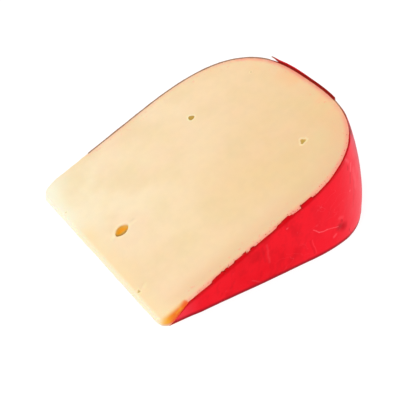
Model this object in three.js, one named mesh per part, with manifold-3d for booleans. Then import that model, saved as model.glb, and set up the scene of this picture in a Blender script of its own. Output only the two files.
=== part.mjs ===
// A wedge cut from a wheel of semi-hard cheese with a red wax coat. It lies on
// its lower cut face, the tip of the wedge towards -X and the rim towards +X.
// Units are millimetres, +Z is up, and the origin is below the middle of the
// wedge, on the face that it lies on.
//
// A point of the wedge is first given on a cut: r is the distance from the
// wheel's axis, y the place across the wheel's thickness. The cut is then
// turned about the axis, from 0 (the face it lies on) to CUT_ANGLE (the top).

import * as THREE from 'three';
import { mergeVertices } from 'three/addons/utils/BufferGeometryUtils.js';
import Module from 'manifold-3d';

const { clamp, degToRad, lerp } = THREE.MathUtils;
const wasm = await Module();
wasm.setup();

// The wheel.
const WHEEL_THICKNESS = 105;
const WHEEL_RADIUS = 125.5;
const CUT_ANGLE = degToRad(22);
const HALF = WHEEL_THICKNESS / 2;

// The shoulders between side and rim are superellipses: how far in from the
// rim each one starts, and its exponent. The near side is the squarer one.
const NEAR_SHOULDER = { reach: 49, exponent: 2.75 };
const FAR_SHOULDER = { reach: 64, exponent: 2.9 };

// The tip is blunt: the knife left a narrow rounded nose. Its near corner is
// worn round and its far corner is chipped.
const TIP_REACH = 7.5;
const TIP_ROUNDING = 0.9;
const NEAR_CORNER = 1.6;
const FAR_CHIP = { along: 7.5, across: 5.2, bulge: 0.8 };

// The wax coat, and where it has broken off beside the tip: the distance from
// the axis at the lower cut and at the top cut.
const WAX_THICKNESS = 0.9;
const NEAR_WAX_START = { low: 12, top: 20.5 };
const FAR_WAX_START = { low: 27, top: 38.5 };

// The lip of wax that the knife turned up on the top cut's rim. Towards +Y it
// leaves the rim as a loose pointed sliver, towards -Y it is broken off square.
const LIP = { start: 25, end: -20.3, height: 0.7, flare: 0.4, inset: 0.3, depth: 1.2 };
const SLIVER = { joined: 20.5, gap: 0.9, lift: 0.3, taper: 0.6 };

// Eyes in the top cut: place on the cut, half lengths along r and y, depth.
const EYES = [
  { r: 22.2, y: 0.3, halfR: 3.5, halfY: 2.9, depth: 2.9, facets: 20 },
  { r: 78.4, y: 26.9, halfR: 1.3, halfY: 1.2, depth: 1.4, facets: 10 },
  { r: 101, y: -25.9, halfR: 1.0, halfY: 1.4, depth: 1.2, facets: 10 },
  { r: 11, y: -31.5, halfR: 1.0, halfY: 0.7, depth: 0.7, facets: 8 },
];

// Two cracks run out from the large eye, towards the rim and towards the tip.
const CRACKS = [
  { r: 28, y: 0.5, halfR: 3.6, halfY: 0.22, depth: 0.8, facets: 8 },
  { r: 17.3, y: -1.2, halfR: 2.2, halfY: 0.2, depth: 0.6, facets: 8 },
];

// Crumbs of wax broken off the top cut's near edge leave small slanting steps,
// at these distances from the axis.
const NICK_PLACES = [33, 39, 47, 53, 64, 70, 76, 82];
const NICK = { length: 3.6, across: 0.6, depth: 0.6, slant: 0.16 };
const NICK_SEED = 11;

// A shallow dent in the near side's wax.
const DENT = { x: 94.4, z: 10.5, half: 3.2, depth: 0.5 };

// Steps of the mesh.
const CUTS = 9;
const SHOULDER_STEPS = 24;
const STRAIGHT_STEPS = 4;
const CORNER_STEPS = 5;
const LIP_STEPS = 18;

/** Repeatable random numbers from 0 to 1. */
function seededRandom(seed) {
  let state = seed;
  return () => {
    state = (state * 16807) % 2147483647;
    return state / 2147483647;
  };
}

/** A point given on the cut at an angle, lifted above that cut by rise. */
function onCut(r, y, angle, rise = 0) {
  const x = r * Math.cos(angle) - rise * Math.sin(angle);
  const z = r * Math.sin(angle) + rise * Math.cos(angle);
  return new THREE.Vector3(x, y, z);
}

/** How far the rim reaches from the axis at a place across the thickness. */
function rimReach(y) {
  const { reach, exponent } = y < 0 ? NEAR_SHOULDER : FAR_SHOULDER;
  const share = Math.abs(y) / HALF;
  return WHEEL_RADIUS - reach + reach * (1 - share ** exponent) ** (1 / exponent);
}

/** How far the near side reaches from the middle at a distance from the axis. */
function nearSideReach(r) {
  const { reach, exponent } = NEAR_SHOULDER;
  const share = Math.max(r - (WHEEL_RADIUS - reach), 0) / reach;
  return HALF * (1 - share ** exponent) ** (1 / exponent);
}

/** Points of one shoulder on a cut, from the side (side = -1 or 1) out to the rim. */
function shoulder({ reach, exponent }, side) {
  const points = [];
  for (let step = 0; step <= SHOULDER_STEPS; step += 1) {
    const t = (step / SHOULDER_STEPS) * (Math.PI / 2);
    const r = WHEEL_RADIUS - reach + reach * Math.sin(t) ** (2 / exponent);
    const y = side * HALF * Math.max(Math.cos(t), 0) ** (2 / exponent);
    points.push(new THREE.Vector2(r, y));
  }
  return points;
}

/** Points of one side on a cut, from the bare cheese at the wax's edge to the shoulder. */
function straightSide(waxStart, shoulderStart, side) {
  const points = [new THREE.Vector2(waxStart - WAX_THICKNESS, side * (HALF - WAX_THICKNESS))];
  for (let step = 0; step < STRAIGHT_STEPS; step += 1) {
    const r = lerp(waxStart, shoulderStart, step / STRAIGHT_STEPS);
    points.push(new THREE.Vector2(r, side * HALF));
  }
  return points;
}

/** The outline of a cut at a share of the wedge's angle: 0 is the lowest. */
function cutOutline(share) {
  const nose = TIP_REACH + TIP_ROUNDING * (1 - Math.sin(Math.PI * share));
  const tip = nose / Math.cos(share * CUT_ANGLE);
  const bare = HALF - WAX_THICKNESS;
  const nearCorner = new THREE.QuadraticBezierCurve(
    new THREE.Vector2(tip, -bare + NEAR_CORNER),
    new THREE.Vector2(tip, -bare),
    new THREE.Vector2(tip + NEAR_CORNER, -bare),
  );
  const farCorner = new THREE.QuadraticBezierCurve(
    new THREE.Vector2(tip + FAR_CHIP.along, bare),
    new THREE.Vector2(tip + FAR_CHIP.bulge, bare - FAR_CHIP.bulge),
    new THREE.Vector2(tip, bare - FAR_CHIP.across),
  );
  const nearStart = lerp(NEAR_WAX_START.low, NEAR_WAX_START.top, share);
  const near = [
    ...nearCorner.getPoints(CORNER_STEPS),
    ...straightSide(nearStart, WHEEL_RADIUS - NEAR_SHOULDER.reach, -1),
    ...shoulder(NEAR_SHOULDER, -1),
  ];
  const farStart = lerp(FAR_WAX_START.low, FAR_WAX_START.top, share);
  const far = [
    ...straightSide(farStart, WHEEL_RADIUS - FAR_SHOULDER.reach, 1),
    ...shoulder(FAR_SHOULDER, 1).slice(0, -1),
  ];
  return [...near, ...far.reverse(), ...farCorner.getPoints(CORNER_STEPS)];
}

/** A closed solid through rings of points, with a flat cap on each end ring. */
function loft(rings, capOutline) {
  const count = rings[0].length;
  const positions = rings.flat().flatMap((point) => point.toArray());
  const index = [];
  for (let ring = 0; ring + 1 < rings.length; ring += 1) {
    for (let point = 0; point < count; point += 1) {
      const a = ring * count + point;
      const b = ring * count + ((point + 1) % count);
      index.push(a, b, b + count, a, b + count, a + count);
    }
  }
  const last = (rings.length - 1) * count;
  for (const [a, b, c] of THREE.ShapeUtils.triangulateShape(capOutline, [])) {
    index.push(a, c, b, last + a, last + b, last + c);
  }
  const geometry = new THREE.BufferGeometry();
  geometry.setAttribute('position', new THREE.Float32BufferAttribute(positions, 3));
  geometry.setIndex(index);
  return geometry;
}

/** A solid for joining and cutting, from a closed geometry. */
function solidOf(geometry) {
  const bare = geometry.clone();
  bare.deleteAttribute('normal');
  bare.deleteAttribute('uv');
  const merged = mergeVertices(bare);
  return new wasm.Manifold(new wasm.Mesh({
    numProp: 3,
    vertProperties: new Float32Array(merged.attributes.position.array),
    triVerts: new Uint32Array(merged.index.array),
  }));
}

/** A geometry from a joined and cut solid, moved so that the origin is in place. */
function geometryOf(solid) {
  const { vertProperties, triVerts } = solid.getMesh();
  const geometry = new THREE.BufferGeometry();
  geometry.setAttribute('position', new THREE.BufferAttribute(vertProperties, 3));
  geometry.setIndex(new THREE.BufferAttribute(triVerts, 1));
  geometry.translate(-(TIP_REACH + WHEEL_RADIUS) / 2, 0, 0);
  geometry.computeVertexNormals();
  return geometry;
}

/** Turns a geometry made level to lie along the top cut, and puts it there. */
function placeOnTopCut(geometry, r, y) {
  const place = onCut(r, y, CUT_ANGLE);
  geometry.rotateY(-CUT_ANGLE);
  geometry.translate(place.x, place.y, place.z);
  return solidOf(geometry);
}

/** The wedge itself, before anything is added or cut. */
function plainWedge() {
  const rings = [];
  for (let cut = 0; cut < CUTS; cut += 1) {
    const share = cut / (CUTS - 1);
    rings.push(cutOutline(share).map(({ x, y }) => onCut(x, y, share * CUT_ANGLE)));
  }
  return solidOf(loft(rings, cutOutline(0)));
}

/** The turned-up lip of wax along the top cut's rim, with its loose sliver. */
function waxLip() {
  const section = [
    new THREE.Vector2(-LIP.inset, -LIP.depth),
    new THREE.Vector2(0, -LIP.depth),
    new THREE.Vector2(LIP.flare, 0),
    new THREE.Vector2(LIP.flare, LIP.height),
    new THREE.Vector2(-LIP.inset, LIP.height),
  ];
  const rings = [];
  for (let step = 0; step <= LIP_STEPS; step += 1) {
    const y = lerp(LIP.start, LIP.end, step / LIP_STEPS);
    const loose = clamp((y - SLIVER.joined) / (LIP.start - SLIVER.joined), 0, 1);
    const size = 1 - SLIVER.taper * loose;
    const foot = rimReach(y) + SLIVER.gap * loose;
    rings.push(section.map(({ x, y: rise }) => {
      const height = rise < 0 ? rise * (1 - loose) : rise * size;
      return onCut(foot + x * size, y, CUT_ANGLE, height + SLIVER.lift * loose);
    }));
  }
  return solidOf(loft(rings, section));
}

/** A pocket below the top cut: an eye, or a crack where it is narrow. */
function pocket({ r, y, halfR, halfY, depth, facets }) {
  const geometry = new THREE.SphereGeometry(1, facets, Math.ceil(facets / 2));
  geometry.scale(halfR, halfY, depth);
  return placeOnTopCut(geometry, r, y);
}

/** Small slanting blocks that break crumbs of wax off the top cut's near edge. */
function edgeNicks() {
  const random = seededRandom(NICK_SEED);
  return NICK_PLACES.map((r) => {
    const length = NICK.length * (0.6 + random());
    const across = NICK.across * (0.6 + random());
    const geometry = new THREE.BoxGeometry(length, 2 * across, 2 * NICK.depth);
    geometry.rotateZ(NICK.slant * (0.5 + random()));
    return placeOnTopCut(geometry, r, -nearSideReach(r));
  });
}

/** The ball that presses the shallow dent into the near side. */
function sideDent() {
  const ball = (DENT.half ** 2 + DENT.depth ** 2) / (2 * DENT.depth);
  const side = nearSideReach(Math.hypot(DENT.x, DENT.z));
  const geometry = new THREE.SphereGeometry(ball, 48, 32);
  geometry.translate(DENT.x, -side - ball + DENT.depth, DENT.z);
  return solidOf(geometry);
}

/** The whole wedge of cheese as one mesh. */
function cheeseWedge() {
  let solid = plainWedge().add(waxLip());
  const cutters = [...EYES.map(pocket), ...CRACKS.map(pocket), ...edgeNicks(), sideDent()];
  for (const cutter of cutters) {
    solid = solid.subtract(cutter);
  }
  const material = new THREE.MeshStandardMaterial({ color: 0xf2d9a4, roughness: 0.5, metalness: 0 });
  const mesh = new THREE.Mesh(geometryOf(solid), material);
  mesh.name = 'cheese_wedge';
  return mesh;
}

const group = new THREE.Group();
group.add(cheeseWedge());

export default group;
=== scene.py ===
"""A wedge of semi-hard cheese in its red wax coat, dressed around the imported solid.

The wedge lies on its lower cut face, the thin tip towards -X and the waxed rim towards +X. Sizes are
millimetres: a piece is made in millimetres and scaled to metres when it is done. A point of a cut is
given as r, its distance from the wheel's axis, and y, its place across the wheel's thickness. The cut
is then turned about the axis, from 0, the face that the wedge lies on, to the top cut.
"""

import logging
import math
from collections.abc import Iterable, Mapping
from dataclasses import dataclass, field
from enum import Enum

import bpy
import numpy as np
from mathutils import Matrix, Vector, noise
from mathutils.geometry import delaunay_2d_cdt


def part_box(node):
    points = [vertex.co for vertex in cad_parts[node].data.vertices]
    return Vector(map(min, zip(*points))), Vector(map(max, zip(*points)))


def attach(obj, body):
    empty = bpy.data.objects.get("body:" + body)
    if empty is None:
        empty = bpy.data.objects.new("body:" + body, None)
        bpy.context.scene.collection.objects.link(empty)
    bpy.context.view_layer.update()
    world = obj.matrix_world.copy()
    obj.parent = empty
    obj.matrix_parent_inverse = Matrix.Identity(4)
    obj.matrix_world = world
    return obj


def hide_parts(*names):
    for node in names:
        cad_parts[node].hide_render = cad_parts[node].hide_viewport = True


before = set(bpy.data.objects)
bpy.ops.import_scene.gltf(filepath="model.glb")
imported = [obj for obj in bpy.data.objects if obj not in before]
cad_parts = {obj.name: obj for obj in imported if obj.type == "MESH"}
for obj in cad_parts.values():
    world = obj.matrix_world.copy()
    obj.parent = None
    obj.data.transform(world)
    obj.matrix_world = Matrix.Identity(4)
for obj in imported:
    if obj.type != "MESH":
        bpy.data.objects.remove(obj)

MM = 0.001
BODY = "root"
SOLID = "cheese_wedge"
SHARP_ANGLE = math.radians(50)
WHITE = (1.0, 1.0, 1.0, 1.0)

LOG = logging.getLogger("cheese_wedge")

Feed = float | int | tuple[float, ...] | bpy.types.NodeSocket | bpy.types.Material


# Colours and node graphs


@dataclass(frozen=True)
class Colour:
    """A colour as it looks in full light, with red, green and blue from 0 to 255."""

    red: float
    green: float
    blue: float

    @property
    def linear(self) -> tuple[float, float, float, float]:
        """The colour as the linear values that a shader takes, with alpha 1."""
        return (*(self._linear(part / 255) for part in (self.red, self.green, self.blue)), 1.0)

    @staticmethod
    def _linear(part: float) -> float:
        """One display value from 0 to 1 as a linear one."""
        return part / 12.92 if part <= 0.04045 else ((part + 0.055) / 1.055) ** 2.4


class InputKind(Enum):
    """The kinds of named input that a recipe has."""

    NUMBER = "NodeSocketFloat"
    COUNT = "NodeSocketInt"
    DIRECTION = "NodeSocketVector"
    FINISH = "NodeSocketMaterial"


class NodeGraph:
    """Adds nodes to a node tree and joins them."""

    def __init__(self, tree: bpy.types.NodeTree) -> None:
        """Empties the tree.

        Args:
            tree: the node tree to fill.
        """
        self.tree = tree
        tree.nodes.clear()

    @staticmethod
    def socket(sockets: Iterable[bpy.types.NodeSocket], key: str | int) -> bpy.types.NodeSocket:
        """The socket in use with that name or index.

        Args:
            sockets: a node's inputs or outputs.
            key: the socket's name or index.

        Returns:
            The first socket that fits and is in use.
        """
        if isinstance(key, int):
            return sockets[key]
        return next(socket for socket in sockets if socket.name == key and socket.enabled)

    def node(
        self, kind: str, inputs: Mapping[str | int, Feed] | None = None, **settings: object
    ) -> bpy.types.Node:
        """Adds one node.

        Args:
            kind: the node's type.
            inputs: what goes into its sockets: a value, or another node's output.
            settings: the node's own properties.

        Returns:
            The new node.
        """
        node = self.tree.nodes.new(kind)
        for name, value in settings.items():
            setattr(node, name, value)
        for key, value in (inputs or {}).items():
            socket = self.socket(node.inputs, key)
            if isinstance(value, bpy.types.NodeSocket):
                self.tree.links.new(value, socket)
            else:
                socket.default_value = value
        return node

    def math(self, operation: str, *values: Feed) -> bpy.types.NodeSocket:
        """The result of arithmetic on numbers, by the operation's name in Blender."""
        return self.node("ShaderNodeMath", dict(enumerate(values)), operation=operation).outputs[0]

    def vector_math(self, operation: str, *values: Feed) -> bpy.types.NodeSocket:
        """The vector that arithmetic on vectors gives, by the operation's name in Blender."""
        node = self.node("ShaderNodeVectorMath", dict(enumerate(values)), operation=operation)
        return node.outputs["Vector"]

    def scaled(self, vector: Feed, factor: Feed) -> bpy.types.NodeSocket:
        """A vector times a number."""
        inputs = {"Vector": vector, "Scale": factor}
        return self.node("ShaderNodeVectorMath", inputs, operation="SCALE").outputs["Vector"]

    def parts(self, vector: Feed) -> tuple[bpy.types.NodeSocket, ...]:
        """The X, Y and Z parts of a vector, each as a socket."""
        return tuple(self.node("ShaderNodeSeparateXYZ", {"Vector": vector}).outputs)

    def joined(self, x: Feed, y: Feed, z: Feed) -> bpy.types.NodeSocket:
        """A vector from its X, Y and Z parts."""
        return self.node("ShaderNodeCombineXYZ", {"X": x, "Y": y, "Z": z}).outputs[0]

    def between(self, factor: Feed, first: Feed, second: Feed) -> bpy.types.NodeSocket:
        """A number between two others: the first where the factor is 0, the second where it is 1."""
        return self.node("ShaderNodeMix", {0: factor, 2: first, 3: second}, data_type="FLOAT").outputs[0]

    def blend(self, factor: Feed, under: Feed, over: Feed, how: str = "MIX") -> bpy.types.NodeSocket:
        """One colour laid over another as strongly as the factor says, in Blender's way of that name."""
        inputs = {0: factor, 6: under, 7: over}
        return self.node("ShaderNodeMix", inputs, data_type="RGBA", blend_type=how).outputs[2]

    def fade(
        self, value: Feed, start: Feed, end: Feed, low: Feed = 0.0, high: Feed = 1.0
    ) -> bpy.types.NodeSocket:
        """A smooth step from low to high as a value goes from start to end."""
        inputs = {0: value, 1: start, 2: end, 3: low, 4: high}
        return self.node("ShaderNodeMapRange", inputs, interpolation_type="SMOOTHSTEP").outputs[0]

    def noise(self, place: Feed, scale: Feed, detail: float = 2.0, seed: Feed = 0.0) -> bpy.types.NodeSocket:
        """Smooth random values about 0.5, with so many waves for each millimetre and finer octaves."""
        inputs = {"Vector": place, "W": seed, "Scale": scale, "Detail": detail}
        return self.node("ShaderNodeTexNoise", inputs, noise_dimensions="4D").outputs[0]


class FinishGraph(NodeGraph):
    """The node graph of one material."""

    def __init__(self, name: str) -> None:
        """Makes the material.

        Args:
            name: the material's name.
        """
        self.material = bpy.data.materials.new(name)
        self.material.use_nodes = True
        super().__init__(self.material.node_tree)
        place = self.node("ShaderNodeTexCoord").outputs["Object"]
        self.place = self.scaled(place, 1 / MM)

    def attribute(self, name: str) -> bpy.types.NodeSocket:
        """A number that the mesh holds at each point, by its name."""
        return self.node("ShaderNodeAttribute", attribute_name=name).outputs["Fac"]

    def above_cut(self, cut_angle: float, axis_x: float) -> bpy.types.NodeSocket:
        """How far a place is above the top cut, which turns about the wheel's axis by its angle."""
        x, _, z = self.parts(self.place)
        along = self.math("MULTIPLY", self.math("SUBTRACT", x, axis_x), -math.sin(cut_angle))
        return self.math("MULTIPLY_ADD", z, math.cos(cut_angle), along)

    def patches(self, scale: float, detail: float, seed: float, *limits: float) -> bpy.types.NodeSocket:
        """Soft random patches all over the piece: noise that is faded by the limits."""
        return self.fade(self.noise(self.place, scale, detail, seed), *limits)

    def stretched(self, waves: tuple[float, ...], detail: float, seed: float) -> bpy.types.NodeSocket:
        """Smooth random values about 0.5, with so many waves for each millimetre of x, y and z."""
        return self.noise(self.vector_math("MULTIPLY", self.place, waves), 1.0, detail, seed)

    def tinted(self, under: Feed, tone: Colour, *shares: Feed) -> bpy.types.NodeSocket:
        """Lays a tone over a colour.

        Args:
            under: the colour.
            tone: the tone.
            shares: how strongly the tone covers, as factors that are multiplied together.

        Returns:
            The new colour's socket.
        """
        factor, *others = shares
        for other in others:
            factor = self.math("MULTIPLY", factor, other)
        return self.blend(factor, under, tone.linear)

    def varied(self, grain: Feed, middle: float, spread: float) -> bpy.types.NodeSocket:
        """A number about a middle value, by a grain from 0 to 1 and its whole spread."""
        return self.math("MULTIPLY_ADD", grain, spread, middle - spread / 2)

    def bump(
        self, height: Feed, distance: float, strength: float, under: Feed | None = None
    ) -> bpy.types.NodeSocket:
        """A surface's normal with small relief on it.

        Args:
            height: the relief, from 0 to 1.
            distance: how high 1 stands, in millimetres.
            strength: how strongly it shows, from 0 to 1.
            under: the normal that it is laid on.

        Returns:
            The normal's socket.
        """
        inputs: dict[str | int, Feed] = {"Height": height, "Distance": distance * MM, "Strength": strength}
        if under is not None:
            inputs["Normal"] = under
        return self.node("ShaderNodeBump", inputs).outputs["Normal"]

    def finish(self, inputs: Mapping[str | int, Feed]) -> bpy.types.Material:
        """Ends the graph in one surface shader.

        Args:
            inputs: what goes into the shader's sockets.

        Returns:
            The finished material.
        """
        shader = self.node("ShaderNodeBsdfPrincipled", inputs)
        self.node("ShaderNodeOutputMaterial", {"Surface": shader.outputs[0]})
        return self.material


class Recipe(NodeGraph):
    """A Geometry Nodes tree with named inputs that makes one piece."""

    def __init__(self, name: str) -> None:
        """Makes a tree with a geometry input and output.

        Args:
            name: the tree's name.
        """
        super().__init__(bpy.data.node_groups.new(name, "GeometryNodeTree"))
        for direction in ("INPUT", "OUTPUT"):
            self.tree.interface.new_socket("Geometry", in_out=direction, socket_type="NodeSocketGeometry")
        self.inputs = self.node("NodeGroupInput")
        self.values: dict[str, object] = {}

    @property
    def geometry(self) -> bpy.types.NodeSocket:
        """The shape that the piece is made from."""
        return self.inputs.outputs["Geometry"]

    def input(self, name: str, value: object, kind: InputKind = InputKind.NUMBER) -> bpy.types.NodeSocket:
        """Adds a named input.

        Args:
            name: the input's name.
            value: its value for this piece.
            kind: what it holds.

        Returns:
            The input's socket inside the tree.
        """
        item = self.tree.interface.new_socket(name, in_out="INPUT", socket_type=kind.value)
        self.values[item.identifier] = value
        return self.inputs.outputs[name]

    def sheet(self, stations: Feed, rows: Feed) -> tuple[bpy.types.NodeSocket, ...]:
        """A flat grid for the tree to shape.

        Args:
            stations: how many points it has along its first side.
            rows: how many points it has along its second side.

        Returns:
            The grid, and how far along the two sides each point is, from 0 to 1.
        """
        inputs = {"Size X": 1.0, "Size Y": 1.0, "Vertices X": stations, "Vertices Y": rows}
        grid = self.node("GeometryNodeMeshGrid", inputs).outputs["Mesh"]
        x, y, _ = self.parts(self.node("GeometryNodeInputPosition").outputs[0])
        return grid, self.math("ADD", x, 0.5), self.math("ADD", y, 0.5)

    def finish(self, shape: bpy.types.NodeSocket, finish: bpy.types.Material) -> None:
        """Ends the tree with real meshes and their material.

        Args:
            shape: the shape that the tree has made.
            finish: the material that it gets.
        """
        material = self.input("Finish", finish, InputKind.FINISH)
        real = self.node("GeometryNodeRealizeInstances", {"Geometry": shape}).outputs[0]
        dressed = self.node("GeometryNodeSetMaterial", {"Geometry": real, "Material": material}).outputs[0]
        self.node("NodeGroupOutput", {"Geometry": dressed})

    def make(self, name: str, source: bpy.types.Mesh) -> bpy.types.Object:
        """Runs the tree on a mesh.

        Args:
            name: the new piece's name.
            source: the mesh that the tree starts from.

        Returns:
            The piece, as a plain mesh.
        """
        piece = linked(name, source)
        modifier = piece.modifiers.new(name, "NODES")
        modifier.node_group = self.tree
        for identifier, value in self.values.items():
            modifier[identifier] = value
        return made_plain(piece)


def linked(name: str, data: bpy.types.ID) -> bpy.types.Object:
    """Makes an object at the origin and links it to the scene.

    Args:
        name: the object's name.
        data: its mesh, camera or light.

    Returns:
        The new object.
    """
    thing = bpy.data.objects.new(name, data)
    bpy.context.scene.collection.objects.link(thing)
    return thing


def scaled_to_metres(piece: bpy.types.Object) -> bpy.types.Object:
    """Scales a finished piece from millimetres to metres, and shades it smooth."""
    piece.data.transform(Matrix.Scale(MM, 4))
    piece.data.shade_smooth()
    return piece


def made_plain(piece: bpy.types.Object) -> bpy.types.Object:
    """Turns what a piece's modifiers make into its own mesh.

    Args:
        piece: the piece with live modifiers.

    Returns:
        The same piece with a plain mesh and no modifier.
    """
    graph = bpy.context.evaluated_depsgraph_get()
    mesh = bpy.data.meshes.new_from_object(piece.evaluated_get(graph))
    mesh.name = piece.name
    piece.modifiers.clear()
    piece.data = mesh
    return piece


def line_mesh(name: str, points: np.ndarray, **attributes: np.ndarray) -> bpy.types.Mesh:
    """An open line of points, for a recipe to follow.

    Args:
        name: the mesh's name.
        points: the points, in order.
        attributes: numbers that each point holds, by name.

    Returns:
        The mesh.
    """
    mesh = bpy.data.meshes.new(name)
    edges = [(index, index + 1) for index in range(len(points) - 1)]
    mesh.from_pydata(points.tolist(), edges, [])
    for key, values in attributes.items():
        store(mesh, key, values)
    return mesh


def store(mesh: bpy.types.Mesh, name: str, values: np.ndarray) -> None:
    """Stores one number for each point of a mesh as an attribute."""
    mesh.attributes.new(name, "FLOAT", "POINT").data.foreach_set("value", values.astype(np.float32))


def smooth_noise(points: np.ndarray, wave: float, seed: float, octaves: int = 2) -> np.ndarray:
    """Smooth random values at points, mostly between -1 and 1.

    Args:
        points: the places, one row each.
        wave: the length of one wave.
        seed: another seed gives another pattern.
        octaves: how many layers of finer noise are added up.

    Returns:
        One value for each point.
    """
    shift = Vector((seed, 1.7 * seed, 0.3 * seed))
    values = [noise.fractal(Vector(point) / wave + shift, 1.0, 2.0, octaves) for point in points]
    return np.array(values)


def smooth_step(values: np.ndarray, start: float, end: float) -> np.ndarray:
    """A smooth step from 0 at start to 1 at end, for each of the values."""
    share = np.clip((values - start) / (end - start), 0.0, 1.0)
    return share * share * (3 - 2 * share)


def spread_evenly(points: np.ndarray, count: int) -> np.ndarray:
    """Points at equal distances along a line, with its ends.

    Args:
        points: the line's own points.
        count: how many points to return.

    Returns:
        The new points.
    """
    steps = np.linalg.norm(np.diff(points, axis=0), axis=1)
    reached = np.concatenate([[0.0], np.cumsum(steps)])
    wanted = np.linspace(0.0, reached[-1], count)
    return np.stack([np.interp(wanted, reached, column) for column in points.T], axis=1)


def nearest(points: np.ndarray, targets: np.ndarray) -> np.ndarray:
    """The distance from each point to the nearest target.

    Args:
        points: the points.
        targets: the targets.

    Returns:
        One distance for each point.
    """
    found = []
    for chunk in np.array_split(points, max(1, len(points) // 2000)):
        gaps = chunk[:, None, :] - targets[None, :, :]
        found.append(np.sqrt((gaps**2).sum(axis=2).min(axis=1)))
    return np.concatenate(found)


# The wedge's form


@dataclass(frozen=True)
class Shoulder:
    """The turn between a flat side of the wheel and its rim: a superellipse."""

    reach: float
    exponent: float


@dataclass(frozen=True)
class TornEdge:
    """Where the wax has broken off a side beside the tip: its distance from the axis."""

    low: float
    top: float

    def at(self, share: float | np.ndarray) -> float | np.ndarray:
        """The distance at a share of the wedge's angle, so that the edge is a straight line."""
        return self.low * self.top / (self.top + (self.low - self.top) * share)


@dataclass(frozen=True)
class WedgeForm:
    """The wedge's form, the same as the solid's."""

    half: float
    radius: float
    axis_x: float
    cut_angle: float = math.radians(22.0)
    near: Shoulder = Shoulder(reach=49.0, exponent=2.75)
    far: Shoulder = Shoulder(reach=64.0, exponent=2.9)
    tip_reach: float = 7.5
    tip_rounding: float = 0.5
    near_corner: float = 5.5
    far_bulge: float = 0.5
    chip_along: float = 7.5
    chip_across: float = 5.2
    chip_bulge: float = 0.8
    wax: float = 0.65
    near_torn: TornEdge = TornEdge(low=11.3, top=21.6)
    far_torn: TornEdge = TornEdge(low=25.0, top=35.5)
    sag_depth: float = 0.5
    sag_reach: float = 3.0
    sag_fade: tuple[float, float] = (94.0, 107.0)

    @classmethod
    def of_solid(cls, node: str) -> "WedgeForm":
        """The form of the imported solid.

        Args:
            node: the solid's name.

        Returns:
            The form, sized and placed by the solid's box.
        """
        low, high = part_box(node)
        length = (high.x - low.x) / MM
        return cls(
            half=(high.y - low.y) / (2 * MM),
            radius=length + cls.tip_reach,
            axis_x=low.x / MM - cls.tip_reach,
        )

    def place(
        self, r: np.ndarray, y: np.ndarray, turn: np.ndarray | float, rise: np.ndarray | float = 0.0
    ) -> np.ndarray:
        """Places points of a cut in the object's frame.

        Args:
            r: distances from the axis.
            y: places across the thickness.
            turn: the cut's angle.
            rise: how far the points stand above that cut.

        Returns:
            One row of X, Y and Z for each point.
        """
        x = r * np.cos(turn) - rise * np.sin(turn) + self.axis_x
        z = r * np.sin(turn) + rise * np.cos(turn)
        return np.stack(np.broadcast_arrays(x, y, z), axis=1)

    def shoulder_line(self, shoulder: Shoulder, side: int, inset: float) -> np.ndarray:
        """One shoulder on a cut, from its side out to the rim.

        Args:
            shoulder: the shoulder.
            side: -1 for the near side, 1 for the far one.
            inset: how far inside the surface the line runs.

        Returns:
            Rows of r and y.
        """
        turn = np.linspace(0.0, math.pi / 2, 3000)
        power = 2 / shoulder.exponent
        out = np.sin(turn) ** power
        across = np.clip(np.cos(turn), 0.0, None) ** power
        r = self.radius - shoulder.reach + shoulder.reach * out
        normal_r = out ** (shoulder.exponent - 1) / shoulder.reach
        normal_y = across ** (shoulder.exponent - 1) / self.half
        size = np.hypot(normal_r, normal_y)
        y = self.half * across - inset * normal_y / size
        return np.stack([r - inset * normal_r / size, side * y], axis=1)

    def rim_line(self, near_r: float, far_r: float, inset: float = 0.0) -> np.ndarray:
        """The line from the near side round the rim to the far side.

        Args:
            near_r: where it starts on the near side.
            far_r: where it ends on the far side.
            inset: how far inside the surface it runs.

        Returns:
            Rows of r and y.
        """
        bare = self.half - inset
        near = self.shoulder_line(self.near, -1, inset)
        far = self.shoulder_line(self.far, 1, inset)[::-1]
        return np.concatenate([[[near_r, -bare]], near, far[1:], [[far_r, bare]]])

    def nose(self, share: float | np.ndarray) -> float | np.ndarray:
        """How far from the axis the blunt tip is, at a share of the wedge's angle."""
        flat = self.tip_reach + self.tip_rounding * (1 - np.sin(math.pi * share))
        return flat / np.cos(share * self.cut_angle)

    def sag(self, r: np.ndarray, y: np.ndarray) -> np.ndarray:
        """How far the top cut has sunk beside the near side, where the knife pressed it down."""
        beside = 1 - smooth_step(y + self.half - self.wax, 0.0, self.sag_reach)
        return self.sag_depth * beside * (1 - smooth_step(r, *self.sag_fade))


def bezier(start: tuple[float, float], pull: tuple[float, float], end: tuple[float, float]) -> np.ndarray:
    """A smooth bend between two points.

    Args:
        start: the first point.
        pull: the point that it bends towards.
        end: the last point.

    Returns:
        Points along the bend.
    """
    share = np.linspace(0.0, 1.0, 60)[:, None]
    first, middle, last = (np.array(point) for point in (start, pull, end))
    return first * (1 - share) ** 2 + 2 * middle * share * (1 - share) + last * share**2


# The cheese


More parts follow.
